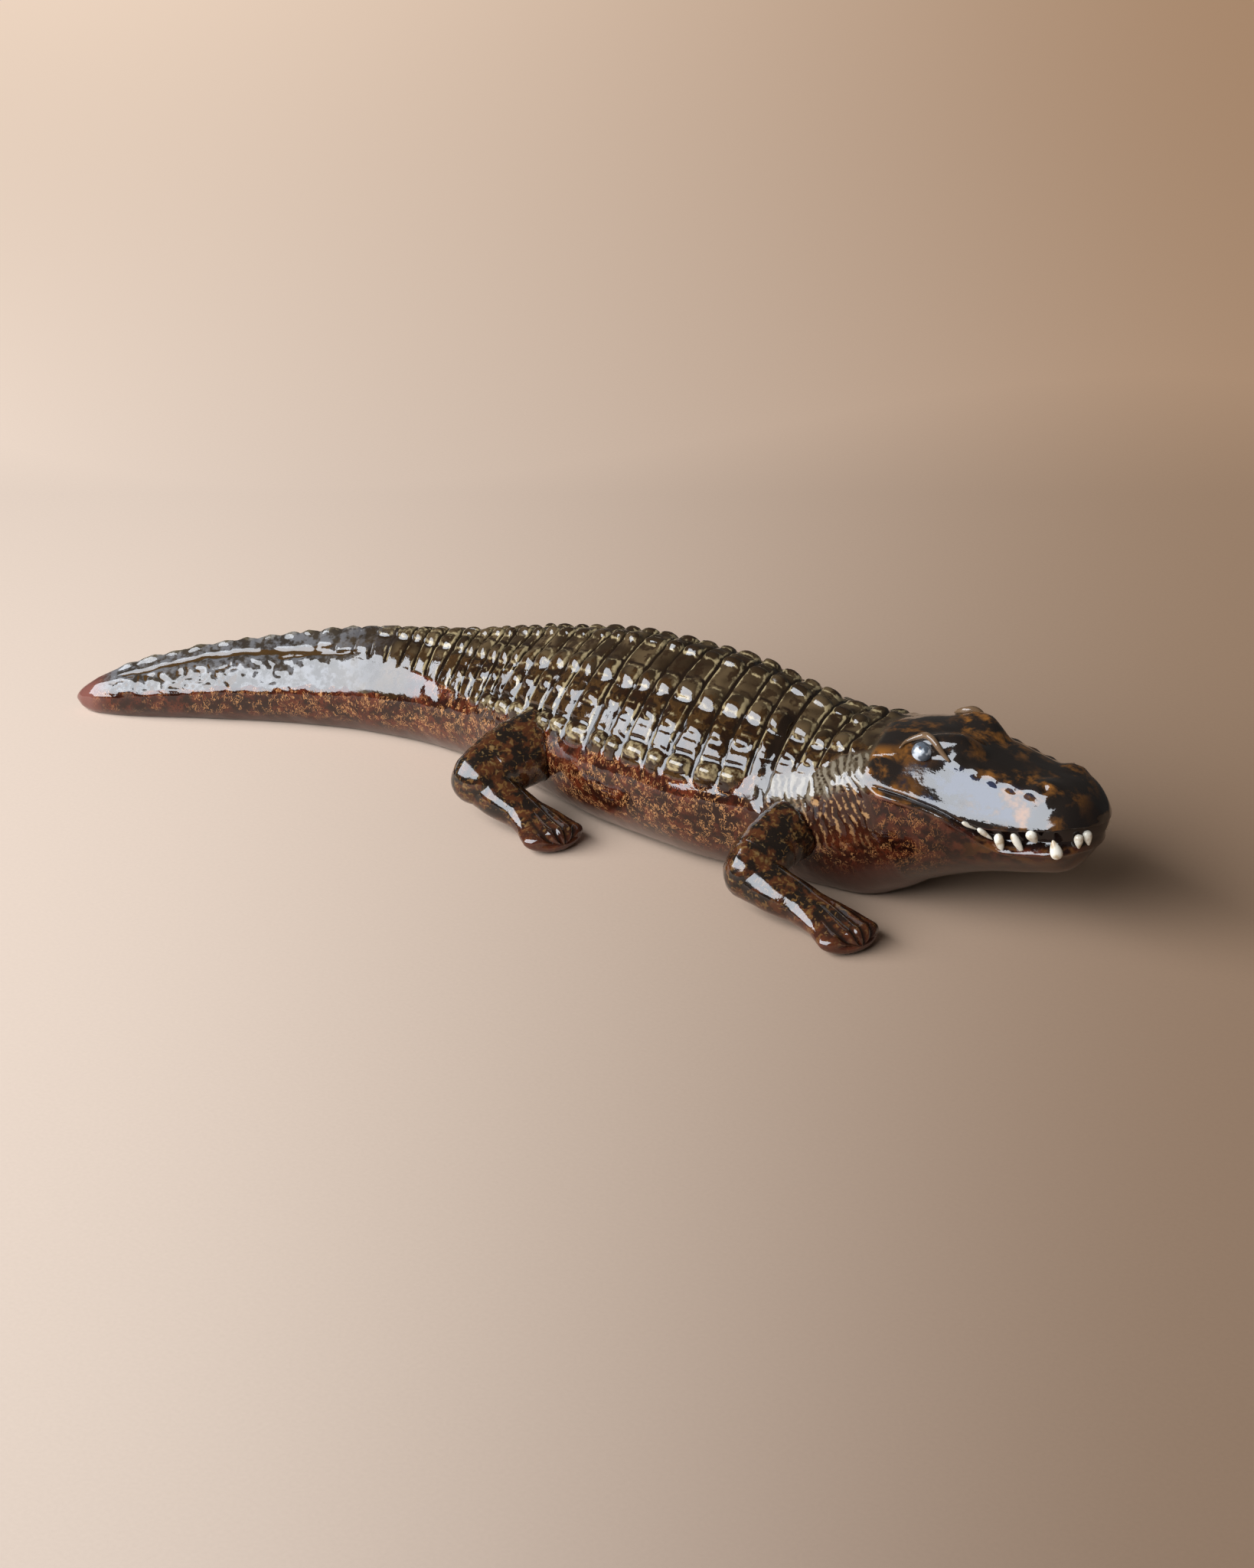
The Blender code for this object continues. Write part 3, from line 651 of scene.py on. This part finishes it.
def limb(name, path, steps, sides, foot=False):
    """A limb along a smooth path, with rounded ends. On a foot, grooves part the toes."""
    stations, first_tip, last_tip = limb_stations(path, steps, TOE_BLUNTNESS if foot else 1.0)
    turn = np.arange(sides) * 2 * math.pi / sides
    toe = (np.cos(turn) + 1) / 2 * TOES
    to_groove = np.abs(toe - np.clip(np.round(toe), 1, TOES - 1))
    upper = fade(np.sin(turn), -0.5, 0.1)
    above = np.sin(turn) > 0
    sharp = np.where(above, LEG_EDGE, 1.0)
    across, up = powered(np.cos(turn), sharp), powered(np.sin(turn), sharp)
    rings, depth, thin, step_along = [], [], [], []
    for k, (centre, forward, (half_width, half_height)) in enumerate(stations):
        level = unit(np.cross(forward, (0, 0, 1.0)))
        over = np.cross(level, forward)
        share = k / (len(stations) - 1)
        toes = fade(share, 0.5, 0.7) * foot * upper
        cut = bump(to_groove, 0.3) * toes
        knuckle = 0.5 * toes * bump(share - 0.86, 0.1) * (1 - cut)
        wave = math.sin(share * 2 * math.pi * LEG_WRINKLES) * fade(share, 0.25, 0.35)
        fold = 0.0 if foot else LEG_WRINKLE * wave
        tall = half_height - TOE_GROOVE * cut + knuckle
        tall = tall + fold * (1 - fade(share, 0.82, 0.9)) * above
        ring = centre + (half_width + fold * 0.6) * across[:, None] * level
        ring = ring + (tall * up)[:, None] * over
        ring = ring - 2.2 * TOE_GROOVE * cut[:, None] * forward * fade(share, 0.74, 0.92)
        if foot:
            ring = ring - TOE_ARC * fade(share, 0.6, 0.9) * np.cos(turn)[:, None] ** 2 * forward
        ring[:, 2] = np.maximum(ring[:, 2], 0)
        rings.append(ring)
        depth.append(cut)
        thin.append(max(0.0, fold * 3.4) + 0.8 * toes * bump(to_groove - 0.5, 0.2))
        step_along.append(np.full(sides, share))
    marks = {"pooled": np.array(depth), "thin": np.array(thin), "along": np.array(step_along)}
    marks.update(around=NOT_AROUND, limb=1.0)
    return tube(name, np.array(rings), first_tip, last_tip, marks)


def leg(name, upper, lower, mirror):
    """A leg in two lengths that meet in the elbow or knee, or its mirror across the spine."""
    def place(path):
        if not mirror:
            return path
        spine = through(np.array([station[0] for station in path], float), X, SPINE)
        return [(x, 2 * float(at) - y, *rest) for at, (x, y, *rest) in zip(spine, path)]

    return [
        limb(f"{name}_upper", place(upper), 34, 36),
        limb(f"{name}_lower", place(lower), 38, 52, foot=True),
    ]


def plain_copy(built, name):
    """The evaluated object as a plain mesh with no modifiers."""
    graph = bpy.context.evaluated_depsgraph_get()
    done = built.evaluated_get(graph)
    mesh = bpy.data.meshes.new_from_object(done, preserve_all_data_layers=True, depsgraph=graph)
    mesh.name = name
    return mesh


def column(items, name, width=1, kind=float):
    """One property of all the corners or edges of a mesh, as an array."""
    values = np.empty(len(items) * width, kind)
    items.foreach_get(name, values)
    return values if width == 1 else values.reshape(-1, width)


def fused(figure, legs):
    """One closed mesh of the body and the legs."""
    group = bpy.data.collections.new("Legs")
    bpy.context.scene.collection.children.link(group)
    for built in legs:
        group.objects.link(built)
    union = figure.modifiers.new("Fuse legs", "BOOLEAN")
    union.operation = "UNION"
    union.operand_type = "COLLECTION"
    union.collection = group
    union.solver = "MANIFOLD"
    mesh = plain_copy(figure, "crocodile_glazed")
    bpy.data.collections.remove(group)
    return mesh


def carry_marks(mesh, sources):
    """Gives each corner the marks of the nearest corner of the skins before they were fused.

    Returns the number of the skin that each corner comes from.
    """
    every = np.concatenate([column(source.vertices, "co", 3) for source in sources])
    owner = np.concatenate([np.full(len(s.vertices), k) for k, s in enumerate(sources)])
    tree = kdtree.KDTree(len(every))
    for k, place in enumerate(every):
        tree.insert(place, k)
    tree.balance()
    nearest = np.array([tree.find(corner.co)[1] for corner in mesh.vertices])
    for mark in MARKS:
        values = [column(source.attributes[mark].data, "value") for source in sources]
        values = np.concatenate(values)[nearest]
        mesh.attributes[mark].data.foreach_set("value", values)
    return owner[nearest]


def soften_seams(mesh, skin):
    """Places of the corners when a heavy coat of glaze has softened the creases where the legs
    join.
    """
    place = column(mesh.vertices, "co", 3)
    ends = column(mesh.edges, "vertices", 2, int)
    start, end = ends.T
    degree = np.bincount(ends.ravel(), minlength=len(place))[:, None]
    crease = np.zeros(len(place))
    seam = skin[start] != skin[end]
    crease[start[seam]] = crease[end[seam]] = 1.0
    for _ in range(CREASE_REACH):
        spread = np.zeros(len(place))
        np.maximum.at(spread, start, crease[end])
        np.maximum.at(spread, end, crease[start])
        crease = np.maximum(crease, 0.82 * spread)
    for _ in range(CREASE_PASSES):
        total = np.zeros((len(place), 3))
        np.add.at(total, start, place[end])
        np.add.at(total, end, place[start])
        place = place + (total / degree - place) * (0.6 * crease)[:, None]
    return place


def ripple(mesh, place):
    """Places of the corners when the glaze has made the surface a little wavy."""
    mesh.vertices.foreach_set("co", place.ravel())
    mesh.update()
    drawn = (place - np.array(DRAWN_ORIGIN)) / UNIT
    wave = 0.16 * grain_at(drawn, 7.0, 2) + 0.07 * grain_at(drawn, 3.0, 3)
    strength = 1 - 0.4 * fade(drawn[:, 0], 130, 145) + 1.3 * fade(-drawn[:, 0], 70, 90)
    wave = wave * fade(drawn[:, 2], 0.2, 2.0) * strength
    return place + column(mesh.vertices, "normal", 3) * (wave * UNIT)[:, None]


def fit_part(mesh, place):
    """Keeps the carved and glazed skin to the size of the part."""
    low, high = (np.array(corner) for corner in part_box("crocodile"))
    now_low, now_high = place.min(0), place.max(0)
    shrink = np.minimum((high - low) / (now_high - now_low), 1.0)
    place = (place - now_low) * shrink + np.maximum(now_low, low)
    mesh.vertices.foreach_set("co", place.ravel())
    mesh.update()


def crocodile(finish):
    """Head, trunk, tail and legs as one skin, fused, softened and glazed."""
    figure = body()
    legs = []
    for side, mirror in (("right", False), ("left", True)):
        legs += leg(f"{side}_foreleg", UPPER_FORELEG, LOWER_FORELEG, mirror)
        legs += leg(f"{side}_hindleg", UPPER_HINDLEG, LOWER_HINDLEG, mirror)
    mesh = fused(figure, legs)
    skin = carry_marks(mesh, [source.data for source in [figure] + legs])
    for source in [figure] + legs:
        bpy.data.objects.remove(source)
    fit_part(mesh, ripple(mesh, soften_seams(mesh, skin)))
    mesh.materials.clear()
    mesh.materials.append(finish)
    mesh.shade_smooth()
    return in_scene("crocodile_glazed", mesh)


class Wire:
    """A socket in a material. Python's operators on it add Math nodes."""

    def __init__(self, tree, socket):
        self.tree, self.socket = tree, socket

    def math(self, operation, *values):
        return node(self.tree, "ShaderNodeMath", {"operation": operation}, *values)[0]

    __add__ = __radd__ = lambda self, other: self.math("ADD", self, other)
    __mul__ = __rmul__ = lambda self, other: self.math("MULTIPLY", self, other)
    __sub__ = lambda self, other: self.math("SUBTRACT", self, other)
    __rsub__ = lambda self, other: self.math("SUBTRACT", other, self)
    __truediv__ = lambda self, other: self.math("DIVIDE", self, other)
    __rtruediv__ = lambda self, other: self.math("DIVIDE", other, self)

    def over(self, start, end):
        """0 below start, 1 above end, and smooth between."""
        settings = {"interpolation_type": "SMOOTHSTEP"}
        return node(self.tree, "ShaderNodeMapRange", settings, self, start, end, 0, 1)[0]

    def power_of_e(self):
        return self.math("EXPONENT", self)

    def size(self):
        return self.math("ABSOLUTE", self)

    def larger(self, other):
        return self.math("MAXIMUM", self, other)

    def smaller(self, other):
        return self.math("MINIMUM", self, other)


def feed(tree, socket, value):
    """Links another node's value to a socket, or sets a plain value on it."""
    if isinstance(value, Wire):
        tree.links.new(value.socket, socket)
    else:
        socket.default_value = value


def node(tree, kind, settings, *values, **named):
    """Makes a node of that kind: its settings first, then its inputs in order or by name.

    Returns its outputs.
    """
    made = tree.nodes.new(kind)
    for name, value in settings.items():
        setattr(made, name, value)
    for socket, value in zip(made.inputs, values):
        feed(tree, socket, value)
    for name, value in named.items():
        feed(tree, made.inputs[name], value)
    return [Wire(tree, out) for out in made.outputs if out.enabled]


def mix(share, first, second):
    """A colour that goes from first to second as share goes from 0 to 1."""
    made = share.tree.nodes.new("ShaderNodeMix")
    made.data_type = "RGBA"
    feed(share.tree, made.inputs["Factor"], share)
    for socket, colour in ((made.inputs[6], first), (made.inputs[7], second)):
        feed(share.tree, socket, colour if isinstance(colour, Wire) else (*colour, 1))
    return Wire(share.tree, made.outputs[2])


def object_place(tree):
    """Object coordinates of the surface."""
    return [out for out in node(tree, "ShaderNodeTexCoord", {}) if out.socket.name == "Object"][0]


def new_material(name, inputs_of):
    """A material whose shader's inputs come from a function of its node tree."""
    material = bpy.data.materials.new(name)
    material.use_nodes = True
    tree = material.node_tree
    for socket, value in inputs_of(tree).items():
        feed(tree, tree.nodes["Principled BSDF"].inputs[socket], value)
    return material


class Glaze:
    """What the regions of the glaze share: the marks of the carving, and clouds of three sizes."""

    def __init__(self, tree):
        self.tree, self.place = tree, object_place(tree)
        self.thin, self.pooled = self.mark("thin"), self.mark("pooled")
        self.limb, self.around, self.along = map(self.mark, ("limb", "around", "along"))
        self.broad = self.cloud(75)
        self.middle, self.fine = self.cloud(230, 3, 0.6), self.cloud(620, 2, 0.6)

    def mark(self, name):
        outs = node(self.tree, "ShaderNodeAttribute", {"attribute_name": name})
        return [out for out in outs if out.socket.name == "Fac"][0]

    def stretched(self, turn, scale):
        """Places drawn out one way, for what is streaked."""
        unmoved = (0, 0, 0)
        return node(self.tree, "ShaderNodeMapping", {}, self.place, unmoved, turn, scale)[0]

    def cloud(self, scale, detail=2, rough=0.5, twist=0, place=None):
        settings = {"Vector": place or self.place, "Scale": scale, "Detail": detail}
        settings.update(Roughness=rough, Distortion=twist)
        return node(self.tree, "ShaderNodeTexNoise", {}, **settings)[0]


def plate_glaze(glaze):
    """Armour: olive brown, umber between the middle rows, cream on edges and bosses."""
    around, along, middle, fine = glaze.around, glaze.along, glaze.middle, glaze.fine
    olive = mix(glaze.broad.over(0.4, 0.62), *OLIVE)
    umber = mix(middle.over(0.44, 0.64), *UMBER)
    flow_down = (around + (middle - 0.5) * 0.5).over(0.58, 0.66) * along.over(-85, -40)
    ground = mix(flow_down, olive, umber)
    ground = mix(middle.over(0.5, 0.6) * 0.8, ground, POOL_BROWN)
    breaking = glaze.thin * 1.15 + (fine - 0.5) * 1.3 + (middle - 0.5) * 0.6
    plates = mix(breaking.over(0.4, 0.95), ground, CREAM)
    plates = mix(glaze.pooled.over(0.15, 0.55), plates, GROOVE_BLACK)

    # The upper side of the tail gets a painted grey-white reflection of the window, with brown
    # pools in its hollows
    tail = (1 - along.over(-96, -66)) * (1 - glaze.limb)
    # Painted reflection: grey-white clouds over the tail's upper side
    tail_reflection_and_pools = mix((middle * 0.7 + fine * 0.3).over(0.43, 0.57), *TAIL_PAINTED_REFLECTION)
    tail_reflection_and_pools = mix((glaze.pooled * 1.2 + (fine - 0.5)).over(0.35, 0.75), tail_reflection_and_pools, TAIL_AMBER)
    return mix(tail * 0.8, plates, tail_reflection_and_pools)


def curling_flecks(glaze, flow):
    """Fine curls of ochre, denser in some places than in others."""
    curl = 1 - (flow - 0.5).size().over(0.014, 0.055)
    patches = glaze.cloud(60).over(0.3, 0.52)
    return curl * glaze.cloud(420, 1).over(0.44, 0.54) * patches


def flank_glaze(glaze, flow, fleck):
    """Flanks: dark red-brown with ochre flecks, smoother and duller towards the belly."""
    middle = glaze.middle
    flank = mix((glaze.broad * 0.4 + middle * 0.6).over(0.42, 0.6), *FLANK_RED)
    flank = mix(flow.over(0.55, 0.62) * middle.over(0.4, 0.6) * 0.8, flank, FLANK_BLACK)
    low = glaze.around.over(1.95, 2.35)
    flank = mix(fleck * (1 - low * 0.8) * 0.85, flank, OCHRE)
    return mix(low * 0.8, flank, BELLY_BROWN)


def jaw_glaze(glaze, fleck):
    """Lower jaw: dark red-brown, flecked behind, with amber blotches in front, a painted pink
    highlight on the jowl and painted shade below.
    """
    along = glaze.along
    jaw = mix(glaze.middle.over(0.42, 0.6), *JAW_RED)
    jaw = mix(fleck * (1 - along.over(150, 162)) * 0.7, jaw, JAW_FLECK)
    blotches = along.over(158, 176) * glaze.cloud(190, 3).over(0.48, 0.6)
    jaw = mix(blotches * 0.6, jaw, JAW_AMBER)
    # Painted highlight: pink on the jowl near the mouth corner
    jowl = glaze.thin.over(0.45, 0.8) * 0.7 * (1 - along.over(146, 160))
    jaw = mix(jowl, jaw, JOWL_PAINTED_HIGHLIGHT)
    # Painted shade: darker on the jaw's underside
    return mix(glaze.around.over(2, 2.5) * 0.7, jaw, THROAT_SHADE)


def head_glaze(glaze, fleck):
    """Head: black-brown with soft amber mottles, and a painted blue reflection of the window on
    the cheek.
    """
    around, along = glaze.around, glaze.along
    streaked = glaze.stretched((0, 0, 0.15), (0.75, 1, 1))
    cloudy = glaze.cloud(150, 4, 0.6, 0.2, streaked)
    amber = (cloudy * 0.85 + glaze.fine * 0.15).over(0.47, 0.68)
    amber = amber * glaze.cloud(45, 1).over(0.34, 0.6)
    behind_eye = (1 - along.over(136, 150)) * around.over(0.55, 0.8)
    amber = amber + behind_eye * cloudy.over(0.4, 0.6) * 0.8
    skull = mix(amber * 0.85, *SKULL_AMBER)
    skull = mix(along.over(188, 196) * 0.9, skull, NOSE_BLACK)
    # Painted reflection: blue on the cheek where the window reflects, broken by clouds
    cheek_reflection = around.over(0.7, 0.85) * (1 - around.over(1.2, 1.34)) * along.over(143, 152)
    cheek_reflection = cheek_reflection * (1 - along.over(176, 186)) * (1 - cloudy.over(0.46, 0.58))
    skull = mix(cheek_reflection * 0.8, skull, CHEEK_REFLECTION_BLUE)
    skull = mix(around.over(1.4, 1.5), skull, jaw_glaze(glaze, fleck))
    return mix(glaze.thin * (1 - around.over(0.8, 0.9)) * 0.9, skull, LID_BROWN)


def leg_glaze(glaze):
    """Legs: black-brown and amber in small mottles, redder low down."""
    upright = node(glaze.tree, "ShaderNodeSeparateXYZ", {}, glaze.place)[2]
    speck = glaze.cloud(640, 1, 0.5, 0.9)
    legs = mix(glaze.middle.over(0.44, 0.58), *LEG_RED)
    mottle = (speck * 0.7 + glaze.middle * 0.3).over(0.53, 0.62)
    legs = mix(mottle * 0.75, legs, LEG_AMBER)
    breaking = (glaze.thin + (speck - 0.5) * 1.8).over(0.5, 1)
    legs = mix(breaking * 0.55, legs, LEG_OLIVE)
    legs = mix((1 - upright.over(0.002, 0.01)) * 0.7, legs, SOLE_RED)
    return mix(glaze.pooled.over(0.3, 0.9), legs, FOLD_BLACK)


def fold_glaze(glaze):
    """Neck: upper folds grey-brown with a painted pale highlight on their ridges, tan ones below,
    with dark lines between them.
    """
    thin, middle, fine = glaze.thin, glaze.middle, glaze.fine
    # Painted highlight: pale on the ridges of the upper folds
    strand = (thin * 1.2 + (fine - 0.5) * 1.2).over(0.45, 0.95)
    upper = mix(strand, *FOLD_PAINTED_HIGHLIGHT)
    strand = (thin * 1.1 + (fine - 0.5) * 2.2 + (middle - 0.5)).over(0.72, 1.15)
    lower = mix(strand, *LOW_FOLD_TAN)
    folds = mix((glaze.around + (middle - 0.5) * 0.6).over(1.3, 1.5), upper, lower)
    return mix(glaze.pooled.over(0.2, 0.7) * 0.8, folds, FOLD_BLACK)


def brown_glaze(tree):
    """Thick glossy glaze: olive and cream on the scales, red-brown and flecked on the flanks."""
    glaze = Glaze(tree)
    around, along, on_armour = glaze.around, glaze.along, glaze.mark("armour")
    streaked = glaze.stretched((0, 0.5, 0), (1, 1, 0.6))
    flow = glaze.cloud(760, 1, 0.5, 1.6, streaked)
    fleck = curling_flecks(glaze, flow)
    colour = mix(on_armour.over(0.2, 0.7), flank_glaze(glaze, flow, fleck), plate_glaze(glaze))
    neck = along.over(95, 101) * (1 - on_armour) * (1 - around.over(1.7, 2.05))
    colour = mix(neck, colour, fold_glaze(glaze))
    tail_tip = (1 - along.over(-161, -153)) * (1 - glaze.limb)
    colour = mix(tail_tip, colour, TAIL_TIP_PINK)
    colour = mix(glaze.mark("head"), colour, head_glaze(glaze, fleck))
    colour = mix(glaze.limb, colour, leg_glaze(glaze))
    # Painted shade: black in the mouth gap and in the ring of the eye socket
    colour = mix(glaze.mark("mouth").over(0.25, 0.7), colour, GAP_SHADE_BLACK)
    eyeball_colour = mix(glaze.cloud(500, 1).over(0.42, 0.6), *EYE_MILK)
    colour = mix(glaze.mark("eye").over(0.4, 0.6), colour, eyeball_colour)

    roughness = 0.05 + 0.1 * glaze.cloud(140).over(0.45, 0.75)
    height = glaze.broad * 0.5 + glaze.middle * 0.35 + glaze.fine * 0.15
    surface = node(tree, "ShaderNodeBump", {}, Strength=0.35, Distance=0.0006, Height=height)[0]
    shine = {"Roughness": roughness, "Metallic": 0, "IOR": GLAZE_IOR}
    return {"Base Color": colour, "Normal": surface, **shine}


def tooth_glaze(tree):
    """Off-white glaze, warmer and darker in cloudy patches."""
    settings = {"Vector": object_place(tree), "Scale": 420, "Detail": 2}
    stain = node(tree, "ShaderNodeTexNoise", {}, **settings)[0]
    colour = mix(stain.over(0.45, 0.7), *TOOTH)
    return {"Base Color": colour, "Roughness": 0.12, "IOR": TOOTH_IOR}


def paper_with_painted_light(tree):
    """Pale paper with painted light: cream at the left, brown at the right and darker towards the
    front as painted falloff, with a painted glow far behind.
    """
    place = object_place(tree)
    away = Vector((0, 0, 1)).cross(CAMERA_RIGHT)
    dot = {"operation": "DOT_PRODUCT"}
    right = node(tree, "ShaderNodeVectorMath", dot, place, CAMERA_RIGHT)[0]
    behind = node(tree, "ShaderNodeVectorMath", dot, place, away)[0] - 0.025
    share = (right / (behind * 0.924 + 1)).over(-0.24, 0.24)
    # Painted light falloff: the tone goes from cream at the left to brown at the right
    falloff_tone = mix(share, *PAINTED_FALLOFF_TONES)
    grain = node(tree, "ShaderNodeTexNoise", {}, Vector=place, Scale=900, Detail=2)[0]
    # Painted light falloff: darker towards the front, times the paper's own fine grain
    painted_falloff = (behind * 1.18 + right * 1.5 - 0.0085).power_of_e()
    painted_falloff = painted_falloff.smaller(0.82 / (0.8 - share * 0.51)) * (grain * 0.08 + 0.96)
    scale = {"operation": "SCALE"}
    paper = node(tree, "ShaderNodeVectorMath", scale, falloff_tone, Scale=painted_falloff)[0]
    # Painted light: the far paper glows
    far = 1 - ((behind - 0.3) / -0.8).power_of_e()
    painted_glow = node(tree, "ShaderNodeVectorMath", scale, falloff_tone, Scale=far.larger(0) * 1.08)[0]
    light = {"Emission Color": painted_glow, "Emission Strength": 1}
    return {"Base Color": paper, "Roughness": 0.9, **light}


def floor():
    """One square of paper below the figure, with painted light falloff and a painted glow far
    behind.
    """
    mesh = bpy.data.meshes.new("floor")
    reach = FLOOR_REACH
    corners = [(-reach, -reach, 0), (reach, -reach, 0), (reach, reach, 0), (-reach, reach, 0)]
    mesh.from_pydata(corners, [], [(0, 1, 2, 3)])
    mesh.materials.append(new_material("Paper with painted light", paper_with_painted_light))
    ground = in_scene("floor", mesh)


def tooth_tree(material):
    """Nodes that stand a leaf-shaped tooth on each point, along its own direction."""
    tree = bpy.data.node_groups.new("Teeth", "GeometryNodeTree")
    tree.interface.new_socket("Geometry", in_out="INPUT", socket_type="NodeSocketGeometry")
    fullness = tree.interface.new_socket("Fullness", in_out="INPUT", socket_type="NodeSocketFloat")
    tree.interface.new_socket("Geometry", in_out="OUTPUT", socket_type="NodeSocketGeometry")
    points, full = node(tree, "NodeGroupInput", {})[:2]
    ball = node(tree, "GeometryNodeMeshUVSphere", {}, TOOTH_SIDES, TOOTH_RINGS, 0.5)[0]

    # The ball is drawn out to a point at its top: its width shrinks with height
    place = node(tree, "GeometryNodeInputPosition", {})[0]
    x, y, z = node(tree, "ShaderNodeSeparateXYZ", {}, place)
    narrow = node(tree, "ShaderNodeMapRange", {}, z, -0.5, 0.5, 1.15, full)[0]
    leaf = node(tree, "ShaderNodeCombineXYZ", {}, x * narrow, y * narrow, z)[0]
    shaped = node(tree, "GeometryNodeSetPosition", {}, Geometry=ball, Position=leaf)[0]
    stand = {"Points": points, "Instance": shaped}
    for name, socket in (("turn", "Rotation"), ("size", "Scale")):
        own = {"data_type": "FLOAT_VECTOR"}
        stand[socket] = node(tree, "GeometryNodeInputNamedAttribute", own, name)[0]
    stood = node(tree, "GeometryNodeInstanceOnPoints", {}, **stand)[0]
    real = node(tree, "GeometryNodeRealizeInstances", {}, stood)[0]
    smooth = node(tree, "GeometryNodeSetShadeSmooth", {}, real)[0]
    glazed = node(tree, "GeometryNodeSetMaterial", {}, Geometry=smooth, Material=material)[0]
    node(tree, "NodeGroupOutput", {}, glazed)
    return tree, fullness.identifier


def teeth(material):
    """All the teeth of both sides, each from its root in the jaw to its tip."""
    places, turns, sizes = [], [], []
    for hand in (1, -1):
        for root_x, root_angle, tip_x, tip_angle, width in TEETH:
            ends = np.array([root_x, tip_x])
            (root, tip), _ = body_skin(ends, hand * np.array([root_angle, tip_angle]), carved=0)
            heart = np.array([root_x - 7, float(through(ends - 7, X, SPINE)[0]), root[2]])
            outward = unit(root - heart)
            root = root - outward * (1.4 if tip[2] < root[2] else -0.3)
            tip = tip - outward * 0.3
            along = Vector(tip - root)
            flat = along.cross(Vector(outward)).normalized()
            deep = flat.cross(along).normalized()
            turn = Matrix((flat, deep, along.normalized())).transposed().to_euler("XYZ")
            places.append(tuple(in_frame(root + (tip - root) * 0.5)))
            turns.append(turn[:])
            sizes.append((width * UNIT * 1.12, width * UNIT * 0.9, along.length * UNIT))
    mesh = bpy.data.meshes.new("teeth")
    mesh.from_pydata(places, [], [])
    for name, values in (("turn", turns), ("size", sizes)):
        layer = mesh.attributes.new(name, "FLOAT_VECTOR", "POINT")
        layer.data.foreach_set("vector", np.array(values).ravel())
    built = in_scene("teeth", mesh)
    tree, fullness = tooth_tree(material)
    rule = built.modifiers.new("Teeth", "NODES")
    rule.node_group = tree
    rule[fullness] = TOOTH_FULLNESS
    plain = plain_copy(built, "teeth")
    bpy.data.objects.remove(built)
    return plain


def camera():
    eye = bpy.data.cameras.new("camera")
    eye.sensor_fit = "VERTICAL"
    eye.sensor_height = 36
    eye.lens = FOCAL_LENGTH
    eye.clip_start = 0.01
    built = in_scene("camera", eye)
    up = CAMERA_BACK.cross(CAMERA_RIGHT)
    turn = Matrix((CAMERA_RIGHT, up, CAMERA_BACK)).transposed().to_4x4()
    built.matrix_world = Matrix.Translation(CAMERA_PLACE * UNIT + DRAWN_ORIGIN) @ turn
    bpy.context.scene.camera = built


def window():
    """A large rectangle of soft even light."""
    light = bpy.data.lights.new("window", "AREA")
    light.shape = "RECTANGLE"
    light.size, light.size_y = WINDOW_SIZE
    light.energy = WINDOW_RADIANCE * math.pi * WINDOW_SIZE[0] * WINDOW_SIZE[1]
    light.color = WINDOW_COLOUR
    built = in_scene("window", light)
    built.location = WINDOW_PLACE
    built.rotation_euler = Vector(WINDOW_FACING).to_track_quat("-Z", "Y").to_euler()


def studio():
    """Floor, camera, one large soft window of light, and the weak light of the room."""
    floor()
    camera()
    window()
    world = bpy.data.worlds.new("room")
    world.use_nodes = True
    room = world.node_tree.nodes["Background"]
    room.inputs["Color"].default_value = ROOM_COLOUR
    room.inputs["Strength"].default_value = ROOM_STRENGTH
    bpy.context.scene.world = world
    bpy.context.scene.view_settings.view_transform = "Standard"


def main():
    studio()
    built = crocodile(new_material("Brown stoneware glaze", brown_glaze))
    white = new_material("Off-white tooth glaze", tooth_glaze)
    joined = in_scene("teeth", teeth(white))
    shells = eyes()
    for shell in shells:
        shell.data.materials.append(built.data.materials[0])
        shell.data.shade_smooth()
    pieces = [built, joined, *shells]
    with bpy.context.temp_override(active_object=built, selected_editable_objects=pieces):
        bpy.ops.object.join()
    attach(built, "root")
    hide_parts("crocodile")
    print("triangles", sum(len(face.vertices) - 2 for face in built.data.polygons))


main()
